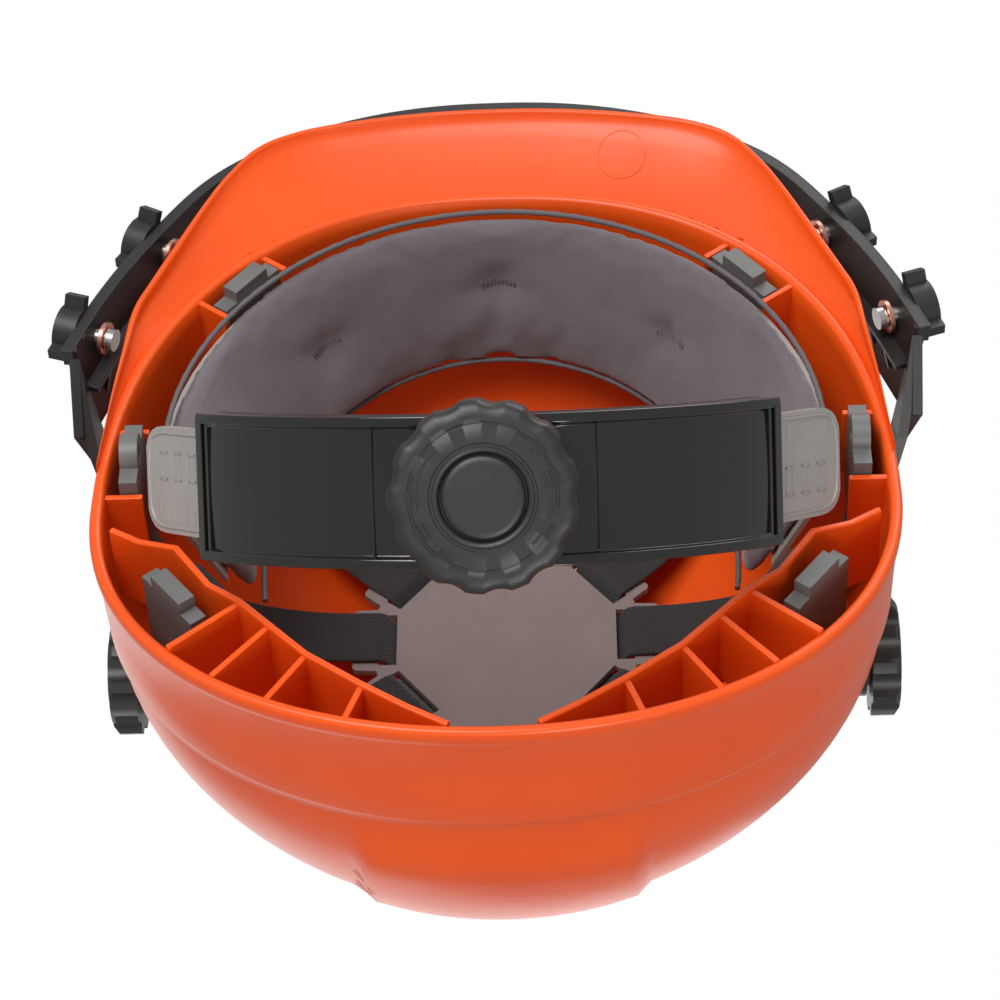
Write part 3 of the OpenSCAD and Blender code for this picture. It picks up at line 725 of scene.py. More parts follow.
    def peak(self, cast: Cast) -> None:
        """Add the peak and side brims as one sloping plate with a rolled lip."""
        sections = []
        for i in range(161):
            p, q, top, low = self.brim_at(i / 160)
            run = q - p
            d = run.normalized()
            f = min(1.0, (self.centre_y - q.y) / 0.090)
            w = min(1.0, run.length / 0.004)
            count = 8
            upper, under = [], []
            for j in range(count + 1):
                k = j / count
                z = top + (low - top) * k + 0.0014 * f * 4 * k * (1 - k)
                at = p + run * k
                upper.append(Vector((at.x, at.y, z)))
                back = p + run * k - d * (0.0019 * w if j == count else 0)
                under.append(Vector((back.x, back.y, z - 0.0025 + (0.0002 if j == count else 0))))
            lip = [(0.0002, -0.0006), (0.0003, -0.0018), (0.0002, -0.0030), (-0.0003, -0.0036),
                   (-0.0010 * w, -0.0036),
                   (-0.0016 * w, -0.0032), (-0.0018 * w, -0.0026)]
            edge = [Vector((q.x + d.x * a, q.y + d.y * a, low + z)) for a, z in lip]
            sections.append(upper + edge + list(reversed(under)))
        cast.tube(sections)

    def gussets(self, cast: Cast) -> None:
        """Add the small gussets between the front wall and the peak."""
        for i in range(-8, 9):
            p = self.oval(270 + i * 4.6, 0.0004)
            a = math.atan2(p.y - self.centre_y, p.x)
            turn = Matrix.Translation(p) @ Matrix.Rotation(a, 4, "Z")
            shape = [(-0.0012, self.front_z + 0.0006), (0.0005, self.front_z + 0.0010), (0.0055, 0.0030),
                     (0.0062, 0.0036), (0.0062, 0.0044), (-0.0012, 0.0056)]
            cast.slab([turn @ Vector((x, -0.00065, z)) for x, z in shape],
                      (turn.to_3x3() @ Vector((0, 0.0013, 0))))

    def pocket_path(self) -> list[Vector]:
        """Plan of the inner rear wall on the wearer's left."""
        raw = [(108.5, 44), (100, 49), (89, 55), (79, 69.5), (70, 76), (61.5, 85), (51, 96), (35.5, 107.5),
               (23, 116), (12, 122.5)]
        return [Vector((x * MM, y * MM, 0)) for x, y in raw]

    def plate(self, cast: Cast, p: Vector, q: Vector, thick: float, low: float, high: float,
              low_q: Optional[float] = None) -> None:
        """Add an upright plate between two plan points."""
        d = (q - p).normalized()
        n = Vector((-d.y, d.x, 0)) * thick / 2
        lq = low if low_q is None else low_q
        cast.tube([[p + n + Vector((0, 0, low)), p - n + Vector((0, 0, low)), p - n + Vector((0, 0, high)),
                    p + n + Vector((0, 0, high))],
                   [q + n + Vector((0, 0, lq)), q - n + Vector((0, 0, lq)), q - n + Vector((0, 0, high)),
                    q + n + Vector((0, 0, high))]])

    def pockets(self, cast: Cast) -> None:
        """Add the inner rear walls and the ribs that tie them to the skirt."""
        for side in Side:
            flip = Vector((side.value, 1, 1))
            path = [p * flip for p in self.pocket_path()]
            sections = []
            for i, p in enumerate(path):
                a, b = path[max(0, i - 1)], path[min(len(path) - 1, i + 1)]
                d = (b - a).normalized()
                n = Vector((-d.y, d.x, 0)) * 0.001
                low = -0.0054 if i > 1 else -0.002
                sections.append([p + n + Vector((0, 0, low + 0.0004)), p + n * 0.6 + Vector((0, 0, low)),
                                 p - n * 0.6 + Vector((0, 0, low)),
                                 p - n + Vector((0, 0, low + 0.0004)), p - n + Vector((0, 0, 0.024)),
                                 p + n + Vector((0, 0, 0.024))])
            cast.tube(sections)
            for x, y, a in ((70, 76, 40), (61.5, 85, 50), (51, 96, 57), (35.5, 107.5, 70)):
                p = Vector((x * MM, y * MM, 0))
                reach = 0.003
                d = Vector((math.cos(math.radians(a)), math.sin(math.radians(a)), 0))
                while reach < 0.030 and self.inside(p + d * (reach + 0.0004), 0.002):
                    reach += 0.0004
                self.plate(cast, p * flip, (p + d * reach) * flip, 0.0018, -0.0044, 0.020)

    def inside(self, p: Vector, inset: float) -> bool:
        """Whether a plan point lies inside the shell by a distance."""
        b = (self.front if p.y < self.centre_y else self.rear) - inset
        n = self.power(p.y - self.centre_y)
        return (abs(p.x) / (self.half_w - inset)) ** n + (abs(p.y - self.centre_y) / b) ** n < 1

    def guides(self, cast: Cast) -> None:
        """Add the ribs beside the front and middle clips."""
        for side in Side:
            for r, bearing, low in self.clip_places:
                for s in (-1, 1):
                    a = math.radians(bearing)
                    ax = Vector((math.cos(a), math.sin(a), 0)) if bearing < 0 else Vector((1, 0, 0))
                    centre = Vector((math.cos(a) * r, math.sin(a) * r, 0))
                    across = Vector((-ax.y, ax.x, 0))
                    start = centre + across * s * 0.0134 - ax * 0.004
                    reach = 0.002
                    while reach < 0.013 and self.inside(start + ax * (reach + 0.0003), 0.0022):
                        reach += 0.0003
                    flip = Vector((side.value, 1, 1))
                    self.plate(cast, start * flip, (start + ax * reach) * flip, 0.0018, low, 0.026)

    def wall_x(self, y: float, z: float) -> float:
        """Half width of the dome's mid wall at a place along the helmet and a height."""
        inset = self.step + self.wall / 2
        f = math.asin(min(0.999, max(0.0, (z - self.ledge) / (self.crown - inset - self.ledge))))
        b = ((self.front if y < self.centre_y else self.rear) - inset) * math.cos(f)
        n = self.power(y - self.centre_y)
        left = max(0.0, 1 - (abs(y - self.centre_y) / b) ** n)
        return (self.half_w - inset) * math.cos(f) ** self.dome_side * left ** (1 / n)

    def bosses(self, cast: Cast) -> None:
        """Add the round bosses under the side pivots, each rooted in the dome's wall."""
        face = self.boss_face
        pivot_y, pivot_z = self.pivot
        for side in Side:
            rows: list[list[Vector]] = [[] for _ in range(5)]
            for i in range(64):
                a = math.tau * i / 64
                for row, (r, back) in zip(rows,
                                          ((0.0044, None), (0.0044, 0.0), (0.0125, 0.0), (0.0131, 0.0008),
                                           (0.0152, None))):
                    y, z = pivot_y + r * math.cos(a), pivot_z + r * math.sin(a)
                    x = min(self.wall_x(y, z), face - 0.0012) if back is None else face - back
                    row.append(Vector((side.value * x, y, z)))
            cast.sheet(rows + [rows[0]], close_rows=True)

    def marks(self, cast: Cast) -> None:
        """Add the plain moulded ring under the peak."""
        def under(x: float, y: float) -> float:
            """Height of the peak's underside at a plan point."""
            near = min((self.brim_at(i / 200) for i in range(60, 141)),
                       key=lambda b: abs((Vector((x, y, 0)) - b[0]).cross((b[1] - b[0]).normalized()).z))
            k = max(0.0, min(1.0, (Vector((x, y, 0)) - near[0]).length / (near[1] - near[0]).length))
            return near[2] + (near[3] - near[2]) * k + 0.0014 * 4 * k * (1 - k) - 0.0025
        ring = [[], [], [], []]
        for i in range(48):
            a = math.tau * i / 48
            for row, (r, dz) in zip(ring,
                                    ((0.0078, 0.0004), (0.0078, -0.00022), (0.0073, -0.00022),
                                     (0.0073, 0.0004))):
                x, y = 0.040 + r * math.cos(a), -0.1135 + r * math.sin(a)
                row.append(Vector((x, y, under(x, y) + dz)))
        cast.sheet(ring, close_rows=True, close_cols=True)

    def make(self, finish: bpy.types.Material) -> None:
        """Build the shell's pieces."""
        skin = Cast("shell_skin")
        rows = self.skin_rows()
        skin.sheet(rows, close_rows=True)
        skin.faces.append(tuple(range(self.around)))
        skin.faces.append(tuple(reversed([(len(rows) - 1) * self.around + j for j in range(self.around)])))
        settle(skin.build(finish, sharp=50), "helmet", "orange_shell", "shell")
        brim = Cast("shell_peak")
        self.peak(brim)
        settle(brim.build(finish, sharp=60), "helmet", "orange_shell")
        for name, adder, bevel in (("shell_gussets", self.gussets, 0.0002),
                                   ("shell_pockets", self.pockets, 0.0003),
                                   ("shell_guides", self.guides, 0.0003), ("shell_bosses", self.bosses, 0.0004),
                                   ("shell_marks", self.marks, 0.0)):
            cast = Cast(name)
            adder(cast)
            settle(cast.build(finish, sharp=30, bevel=bevel), "helmet", "orange_shell")


# ---- the cradle -----------------------------------------------------------------------
@dataclass
class Cradle:
    """Webbing straps and the crown pad."""

    strap_w: float = 0.020
    strap_t: float = 0.0012
    pad_z: float = 0.096
    pad_half: float = 0.048
    slot: float = 0.0344
    bearing: float = -38.1
    front_r: float = 0.09638
    rear_r: float = 0.11304
    mid_x: float = 0.105225
    mid_y: float = 0.014

    def half(self, r: float, layer: int) -> list[tuple[float, float]]:
        """Half of a strap's side view: reach, and height over the pad's underside.

        Args:
            r: reach of the clip.
            layer: 0 for the strap next to the pad, 2 for the one on top.

        Returns:
            Points from the middle, over the pad, down through its slot and along to the clip.
        """
        s, w = self.slot, self.strap_w * 0.85
        if layer == 0:
            over = [(0.0, 0.0033), (s - 0.0002, 0.0033), (s + 0.0015, 0.0025)]
        else:
            over = [(0.0, 0.0068), (w, 0.0068), (w + 0.004, 0.005)] if layer == 2 else [(0.0, 0.005)]
            over += [(s - 0.0034, 0.005), (s + 0.0002, 0.0039), (s + 0.0018, 0.0024)]
        start = s + 0.0056
        under = [(s + 0.0039, -0.001), (start, -0.0014)]
        for i in range(1, 37):
            f = math.radians(90 - 2.5 * i)
            under.append((start + (r - start) * max(0.0, math.cos(f)) ** 0.9,
                          0.024 - self.pad_z + (self.pad_z - 0.0254) * max(0.0, math.sin(f)) ** 0.95))
        return over + under + [(r, 0.012 - self.pad_z)]

    def path(self, r0: float, r1: float, layer: int) -> list[tuple[float, float]]:
        """Side view of a strap: distance along its bearing and height."""
        first = [(x, z + self.pad_z) for x, z in reversed(self.half(r0, layer))]
        return first + [(-x, z + self.pad_z) for x, z in self.half(r1, layer)[1:]]

    def strap(self, name: str, bearing: float, r0: float, r1: float, layer: int, bow: float, flip: float,
              finish: bpy.types.Material) -> None:
        """Build one strap.

        Args:
            name: the node that it replaces.
            bearing: plan direction in degrees.
            r0: reach of its first end.
            r1: reach of its other end.
            layer: its place in the pile over the pad, from 0.
            bow: how far forward its ends lie.
            flip: -1 to mirror it.
            finish: its material.
        """
        cast = Cast("webbing_" + name)
        points = self.path(r0, r1, layer)
        free_at = self.slot + 0.008
        turn = Matrix.Rotation(math.radians(bearing), 4, "Z")
        shift = Vector((flip, 1, 1))
        across = [(-1.0, 0.2), (-0.97, 0.5), (-0.9, 0.5), (-0.45, 0.5), (0, 0.5), (0.45, 0.5), (0.9, 0.5),
                  (0.97, 0.5), (1.0, 0.2),
                  (1.0, -0.2), (0.97, -0.5), (0.9, -0.5), (0.45, -0.5), (0, -0.5), (-0.45, -0.5), (-0.9, -0.5),
                  (-0.97, -0.5),
                  (-1.0, -0.2)]
        rows, lengths, run = [], [], 0.0
        for i, (x, z) in enumerate(points):
            a, b = points[max(0, i - 1)], points[min(len(points) - 1, i + 1)]
            d = Vector((b[0] - a[0], b[1] - a[1])).normalized()
            n = Vector((d.y, -d.x))
            y = bow * (max(0.0, abs(x) - free_at) / (r0 - free_at)) ** 2
            run += (Vector((x, z)) - Vector(points[max(0, i - 1)])).length
            lengths.append(run)
            free = ease((0.092 - z) / 0.02) * ease((z - 0.035) / 0.02)
            row = []
            for v, u in across:
                lift = n * self.strap_t * u + n * 0.0005 * free * math.sin(run * 90 + v * 2.0)
                row.append(turn @ Vector((x + lift.x, y + v * self.strap_w / 2, z + lift.y)) * shift)
            rows.append(row)
        cast.tube(rows)
        made = cast.build(finish, sharp=80)
        layer = made.data.uv_layers.new(name="UVMap")
        count = len(across)
        for loop in made.data.loops:
            i, j = divmod(loop.vertex_index, count)
            layer.data[loop.index].uv = (lengths[i], across[j][0] * self.strap_w / 2)
        settle(made, "helmet", "webbing", name)

    def pad(self, finish: bpy.types.Material) -> None:
        """Build the crown pad with its slotted tabs."""
        made = bmesh.new()
        angles = sorted(a % 360 for a in (0, self.bearing, -self.bearing, 180, 180 + self.bearing,
                                          180 - self.bearing))
        outline = []
        for i, a in enumerate(angles):
            ax = Vector((math.cos(math.radians(a)), math.sin(math.radians(a)), 0))
            up = Vector((-ax.y, ax.x, 0))
            r = self.pad_half
            outline += [ax * (r - 0.0075) - up * 0.0130, ax * (r - 0.001) - up * 0.0126, ax * r - up * 0.0115,
                        ax * r + up * 0.0115, ax * (r - 0.001) + up * 0.0126, ax * (r - 0.0075) + up * 0.0130]
            nxt = angles[(i + 1) % len(angles)] + (360 if i == len(angles) - 1 else 0)
            if nxt - a > 60:
                m = math.radians((a + nxt) / 2)
                for da, rr in ((-0.22, 0.0392), (0, 0.0400), (0.22, 0.0392)):
                    outline.append(Vector((rr * math.cos(m + da), rr * math.sin(m + da), 0)))
        loops = [outline]
        for a in angles:
            ax = Vector((math.cos(math.radians(a)), math.sin(math.radians(a)), 0))
            up = Vector((-ax.y, ax.x, 0))
            r, w = self.slot, self.strap_w / 2 + 0.0004
            loops.append([ax * (r + u) + up * v for u, v in ((0, -w), (0.0054, -w), (0.0054, w), (0, w))])
        for loop in loops:
            verts = [made.verts.new((p.x, p.y, self.pad_z)) for p in loop]
            for i in range(len(verts)):
                made.edges.new((verts[i], verts[(i + 1) % len(verts)]))
        bmesh.ops.triangle_fill(made, use_beauty=True, use_dissolve=True, edges=made.edges[:])
        for v in made.verts:
            v.co.z += 0.0001 - 0.0004 * (v.co.xy.length / self.pad_half) ** 2
        mesh = bpy.data.meshes.new("crown_pad_soft")
        for f in made.faces:
            if f.normal.z < 0:
                f.normal_flip()
        made.to_mesh(mesh)
        made.free()
        mesh.materials.append(finish)
        pad = bpy.data.objects.new("crown_pad_soft", mesh)
        bpy.context.scene.collection.objects.link(pad)
        thick = pad.modifiers.new("thick", "SOLIDIFY")
        thick.thickness, thick.offset = 0.0024, 1
        soften(pad, 35, 0.0006)
        settle(pad, "helmet", "pad_grey", "crown_pad")

    def make(self, web: bpy.types.Material, pad: bpy.types.Material) -> None:
        """Build the straps and the pad."""
        self.strap("strap_cross", 0, self.mid_x, self.mid_x, 0, self.mid_y, 1, web)
        self.strap("strap_diag_a", self.bearing, self.front_r, self.rear_r, 1, 0, 1, web)
        self.strap("strap_diag_b", self.bearing, self.front_r, self.rear_r, 2, 0, -1, web)
        self.pad(pad)


# ---- the sweatband --------------------------------------------------------------------
@dataclass
class Sweatband:
    """Foam sweatband in woven cloth, with three stitched dimples."""

    half_w: float = 0.099
    depth: float = 0.103
    centre_y: float = 0.012
    low: float = -0.004
    height: float = 0.054
    foam: float = 0.007
    reach: float = 100.0
    swell_limit: float = 0.004
    even_step: float = 0.0028
    slim: float = 0.94
    dimples: tuple[tuple[float, float], ...] = ((-41.0, 0.53), (0.0, 0.46), (41.0, 0.53))

    def at(self, a: float, k: float, out: float) -> Vector:
        """Point of the band.

        Args:
            a: bearing from the front in degrees.
            k: 0 at the lower edge and 1 at the upper.
            out: distance outside its outer face.

        Returns:
            The point.
        """
        w, d = self.half_w - 0.025 * k + out, self.depth - 0.011 * k + out
        r = math.radians(a)
        return Vector((w * math.sin(r), self.centre_y - d * math.cos(r), self.low + self.height * k))

    def where(self, p: Vector) -> tuple[float, float, float]:
        """Bearing, height fraction and distance outside the outer face of a point."""
        k = (p.z - self.low) / self.height
        w, d = self.half_w - 0.025 * k, self.depth - 0.011 * k
        u, v = p.x / w, (self.centre_y - p.y) / d
        return math.degrees(math.atan2(u, v)), k, (math.hypot(u, v) - 1) * (w + d) / 2

    def blank(self) -> Cast:
        """The unswollen pad, a little thinner than the finished one."""
        cast = Cast("sweatband_pad")
        sections = []
        for i in range(97):
            a = -self.reach + 2 * self.reach * i / 96
            end = ease((self.reach + 0.5 - abs(a)) / 5)
            section = []
            for j in range(24):
                t = math.tau * j / 24
                k = 0.5 - 0.47 * spow(math.cos(t), 0.7) * (0.75 + 0.25 * end)
                depth = (self.foam * 0.5 * self.slim * (0.4 + 0.6 * end)) * spow(math.sin(t), 0.8)
                section.append(self.at(a, k, -self.foam * 0.5 + depth))
            sections.append(section)
        cast.tube(sections)
        return cast

    def swell(self, piece: bpy.types.Object) -> None:
        """Blow the pad up as cloth, keeping every point near its start."""
        with bpy.context.temp_override(object=piece, active_object=piece, selected_objects=[piece]):
            remesh = piece.modifiers.new("even", "REMESH")
            remesh.mode, remesh.voxel_size = "VOXEL", self.even_step
            bpy.ops.object.modifier_apply(modifier=remesh.name)
        start = [v.co.copy() for v in piece.data.vertices]
        cloth = piece.modifiers.new("swell", "CLOTH")
        cloth.settings.quality = 4
        cloth.settings.mass = 0.2
        cloth.settings.use_pressure = True
        cloth.settings.uniform_pressure_force = 4
        cloth.settings.tension_stiffness = cloth.settings.compression_stiffness = 20
        cloth.settings.effector_weights.gravity = 0
        scene = bpy.context.scene
        for frame in range(1, 21):
            scene.frame_set(frame)
        bpy.context.view_layer.update()
        shaped = piece.evaluated_get(bpy.context.evaluated_depsgraph_get()).data
        moved = [v.co.copy() for v in shaped.vertices]
        piece.modifiers.remove(cloth)
        scene.frame_set(1)
        for v, was, now in zip(piece.data.vertices, start, moved):
            step = now - was
            if step.length > self.swell_limit:
                step = step.normalized() * self.swell_limit
            v.co = was + step
        self.trim(piece)

    def trim(self, piece: bpy.types.Object) -> None:
        """Press the dimples in and keep the pad inside its space."""
        for v in piece.data.vertices:
            a, k, out = self.where(v.co)
            ripple = 0.0005 * noise.noise(Vector((a * 0.09, k * 3.0,
                                                  2.0))) + 0.00025 * noise.noise(Vector((a * 0.3, k * 7.0,
                                                          5.0)))
            inner = ease((-out - self.foam * 0.4) / (self.foam * 0.3))
            push = ripple * inner
            for da, dk in self.dimples:
                x, z = math.radians(a - da) * 0.082, (k - dk) * self.height
                dist = math.hypot(x * 0.75, z)
                push += inner * 0.0036 * math.exp(-(dist / 0.0062) ** 2)
                pull = math.exp(-(dist / 0.018) ** 2) * math.sin(math.atan2(z, x) * 5 + da)
                push += inner * 0.00035 * pull
            out = max(-self.foam + 0.0001, min(-0.0001, out)) + push
            keep = max(0.004, min(0.996, k))
            v.co = self.at(max(-self.reach, min(self.reach, a)), keep, min(-0.0001, out))

    def tacks(self, thread: bpy.types.Material) -> None:
        """Stitch a small bar of thread in each dimple."""
        cast = Cast("sweatband_tacks")
        for da, dk in self.dimples:
            for i in range(-4, 5):
                a = da + i * 0.85
                lift = -self.foam + 0.0036 * math.exp(-((i * 0.00105) / 0.0062) ** 2) + 0.0001
                p0, p1 = self.at(a, dk - 0.022, lift), self.at(a + 0.35, dk + 0.022, lift)
                out = Vector((p0.x, p0.y - self.centre_y, 0)).normalized() * -0.00035
                along = (p1 - p0)
                side = along.cross(out).normalized() * 0.00035
                rows = []
                for t in (0.0, 0.2, 0.5, 0.8, 1.0):
                    c = p0 + along * t + out * math.sin(math.pi * t)
                    rows.append([c + side * math.cos(q) + out.normalized() * 0.0003 * math.sin(q) for q in (0,
                            1.05, 2.1, 3.14, 4.19, 5.24)])
                cast.tube(rows)
        settle(cast.build(thread, sharp=80), "helmet", "sweat_fabric")

    def seams(self, thread: bpy.types.Material) -> None:
        """Roll a narrow piping along both long edges."""
        for name, k, inset in (("sweatband_seam_low", 0.018, 0.45), ("sweatband_seam_high", 0.982, 0.5)):
            cast = Cast(name)
            rows = []
            for i in range(161):
                a = -self.reach + 1 + (2 * self.reach - 2) * i / 160
                c = self.at(a, k, -self.foam * inset)
                ahead = (self.at(a + 0.1, k, -self.foam * inset) - c).normalized()
                out = ahead.cross(Vector((0, 0, 1))).normalized()
                r = 0.00085 + 0.0001 * math.sin(i * 2.2)
                rows.append([c + out * r * math.cos(q) + Vector((0, 0, 1)) * r * math.sin(q) for q
                             in [math.tau * j / 8 for j in range(8)]])
            cast.tube(rows)
            settle(cast.build(thread, sharp=80), "helmet", "sweat_fabric")

    def make(self, cloth: bpy.types.Material, thread: bpy.types.Material) -> None:
        """Build the pad, its seams and its stitches."""
        pad = self.blank().build(cloth, sharp=80)
        self.swell(pad)
        for face in pad.data.polygons:
            face.use_smooth = True
        fine = pad.modifiers.new("fine", "SUBSURF")
        fine.levels = fine.render_levels = 1
        settle(pad, "helmet", "sweat_fabric", "sweatband")
        self.seams(thread)
        self.tacks(thread)


# ---- the nape adjuster ------------------------------------------------------------------
@dataclass
class Nape:
    """Glossy housing, knob and the two graded tongues."""

    radius: float = 0.092
    tongue_t: float = 0.002
    tilt: float = 40.0
    centre: Point = (0.0, 0.017, 0.002)
    half_span: float = 53.5
    half_h: float = 0.020
    cover_t: float = 0.0022
    knob_r: float = 0.025
    knob_h: float = 0.014

    def frame(self) -> Matrix:
        """Place of the nape arc."""
        return Matrix.Translation(self.centre) @ Matrix.Rotation(math.radians(-self.tilt), 4, "X")

    def at(self, a: float, r: float, z: float) -> Vector:
        """Point at an angle from the rear, a radius and a height on the arc's axis."""
        t = math.radians(a)
        return self.frame() @ Vector((r * math.sin(t), r * math.cos(t), z))

    def out(self, r: float) -> Matrix:
        """Frame whose Z points away from the head at the middle of the arc."""
        return self.frame() @ Matrix.Translation((0, r, 0)) @ Matrix.Rotation(math.radians(-90), 4, "X")

    @property
    def cover(self) -> float:
        """Inner radius of the cover plate."""
        return self.radius + self.tongue_t + 0.001

    def housing(self, finish: bpy.types.Material) -> None:
        """Build the housing with its raised border round a sunk glossy panel."""
        r0, r1, h = self.cover, self.cover + self.cover_t, self.half_h
        cast = Cast("nape_housing_gloss")
        sections = []
        for i in range(121):
            a = -self.half_span + 2 * self.half_span * i / 120
            crown = 0.0
            profile = [(self.radius - 0.0007, -h), (r1 + 0.0014, -h), (r1 + 0.0014, -h + 0.0026),
                       (r1 + crown, -h + 0.0034)]
            profile += [(r1 + 0.0004 * (1 - (z / 0.016) ** 2), z) for z in (-0.012, -0.006, 0, 0.006, 0.012)]
            profile += [(r1 + crown, h - 0.0034), (r1 + 0.0014, h - 0.0026), (r1 + 0.0014, h),
                        (self.radius - 0.0007, h),
                        (self.radius - 0.0007, h - 0.0024), (r0, h - 0.0024), (r0, -h + 0.0024),
                        (self.radius - 0.0007, -h + 0.0024)]
            sections.append([self.at(a, r, z) for r, z in profile])
        cast.tube(sections)
        settle(cast.build(finish, sharp=28, bevel=0.00045, steps=3), "helmet", "gloss_black", "nape_housing")
        bars = Cast("nape_housing_bars")
        for side in Side:
            for a0, a1, high in ((self.half_span - 1.7, self.half_span, 0.0015),
                                 (self.half_span - 2.9, self.half_span - 2.2, 0.0009)):
                rows = [[self.at(side.value * (a0 + (a1 - a0) * t), r, z) for r, z in
                         ((r0 + 0.0003, -h + 0.0012), (r1 + high, -h + 0.0012), (r1 + high, h - 0.0012),
                          (r0 + 0.0003, h - 0.0012))]
                        for t in (0, 0.5, 1)]
                bars.tube(rows)
        for a in (-17.6, 17.6):
            rows = [[self.at(a + d, r, z) for r,
                     z in ((r1 - 0.0004, -h + 0.003), (r1 + 0.0007, -h + 0.003), (r1 + 0.0007, h - 0.003),
                           (r1 - 0.0004, h - 0.003))]
                    for d in (-0.22, 0.22)]
            bars.tube(rows)
        bars.turned([(0.0041, 0.0005), (0.0090, 0.0005), (0.0090, 0.0036), (0.0086, 0.0039), (0.0041, 0.0039)],
                    48, self.out(r0))
        settle(bars.build(finish, sharp=30, bevel=0.0002), "helmet", "gloss_black")

    def knob(self, finish: bpy.types.Material, shiny: bpy.types.Material) -> None:
        """Build the scalloped knob with its sunk face, rings and turning arrows."""
        base = self.cover + self.cover_t + 0.0034
        frame = self.out(base)
        big, tall = self.knob_r, self.knob_h

        def scallop(a: float, r: float, z: float) -> float:
            """Radius with thirteen finger hollows."""
            phase = (a * 13 / math.tau) % 1.0
            off = min(phase, 1 - phase) / 13 * math.tau * big
            bite = max(0.0, 0.0011 - off * off / 0.0118)
            return r - bite * ease((r - 0.0185) / 0.0045) * (1.0 if z < tall * 0.9 else 0.75)

        profile = [(0.0041, 0.0098), (0.0041, 0.0), (0.012, 0.0), (0.0235, 0.0), (big - 0.0004, 0.0006),
                   (big, 0.0014), (big, 0.0112), (big - 0.0002, 0.0121),
                   (big - 0.0009, 0.0131), (big - 0.0022, 0.0138), (big - 0.0038, 0.0140), (0.0196, 0.0140),
                   (0.0193, 0.01375),
                   (0.0188, 0.01375), (0.0185, 0.0140), (0.0141, 0.0140), (0.0138, 0.0137), (0.0132, 0.0137),
                   (0.0129, 0.0140),
                   (0.0122, 0.0140), (0.0117, 0.0136), (0.0114, 0.0128), (0.0113, 0.0124), (0.0112, 0.0122),
                   (0.006, 0.0122), (0.0, 0.0122)]
        cast = Cast("adjuster_knob_grip")
        cast.turned(profile, 13 * 24, frame, scallop)
        settle(cast.build(finish, sharp=40), "knob", "matte_black", "adjuster_knob")
        cap = Cast("knob_cap_disc")
        cap.turned([(0.0, 0.01235), (0.0100, 0.01235), (0.0108, 0.0124), (0.0109, 0.0128), (0.0107, 0.0133),
                    (0.0102, 0.0137), (0.009, 0.0138), (0.0, 0.01388)], 96, frame)
        settle(cap.build(finish, sharp=40), "knob", "matte_black", "knob_cap")
        arrows = Cast("knob_arrows")
        for start, sweep in ((-45, 90), (135, 90)):
            rows = []
            for i in range(49):
                a = math.radians(start + sweep * i / 48)
                rows.append([frame @ Vector(((0.0174 + dr) * math.cos(a), (0.0174 + dr) * math.sin(a), z))
                             for dr, z in ((-0.0003, 0.0139), (-0.00022, 0.01425), (0.00022, 0.01425),
                                           (0.0003, 0.0139))])
            arrows.tube(rows)
            a = math.radians(start + sweep + 5)
            tip = Vector((0.0174 * math.cos(a), 0.0174 * math.sin(a), 0))
            b = math.radians(start + sweep - 1)
            wings = [Vector(((0.0174 + d) * math.cos(b), (0.0174 + d) * math.sin(b), 0)) for d in (-0.0009,
                    0.0009)]
            arrows.slab([frame @ (p + Vector((0, 0, 0.0139))) for p in (tip, wings[0], wings[1])],
                        self.frame().to_3x3() @ Vector((0, 0.00035, 0)))
        settle(arrows.build(shiny, sharp=30), "knob", "matte_black")

    def tongue(self, side: Side, finish: bpy.types.Material, ink: bpy.types.Material) -> None:
        """Build one tongue with its rack, border, slots and plain graduation marks."""
        turn = side.value
        pitch, tooth, gear = 360 / 12 * 8 / 93, 0.75, 0.008
        stations: list[tuple[float, float, float, float]] = [(-4.2 * pitch, gear + 0.0016, gear + 0.0056, 0)]
        for i in range(-4, 15):
            t = (i + 0.5) * pitch
            for da, lo in ((-tooth / 2 - 0.12, gear + 0.0016), (-tooth / 2, gear - 0.0004),
                           (tooth / 2, gear - 0.0004), (tooth / 2 + 0.12, gear + 0.0016)):
                stations.append((t + da, lo, gear + 0.0056, 0))
        stations.append((39.6, gear + 0.0016, gear + 0.0056, 0))
        stations += [(40.0, -0.015, 0.015, 0)] + [(40 + 2 * i, -0.015, 0.015, 0) for i in range(1, 9)]
        stations += [(56, -h * MM, h * MM, run * MM) for run,
                     h in ((6, 15), (12, 15), (18, 15), (24, 15), (28, 14.6), (31, 13.6), (33, 12.1),
                           (34.2, 10.4), (35, 8.5))]

        def place(a: float, r: float, z: float, run: float) -> Vector:
            """Point of the tongue, mirrored for the other side."""
            t = math.radians(a)
            x, y = r * math.sin(t) + run * math.cos(t), r * math.cos(t) - run * math.sin(t)
            return self.frame() @ Vector((turn * x, y, turn * z))

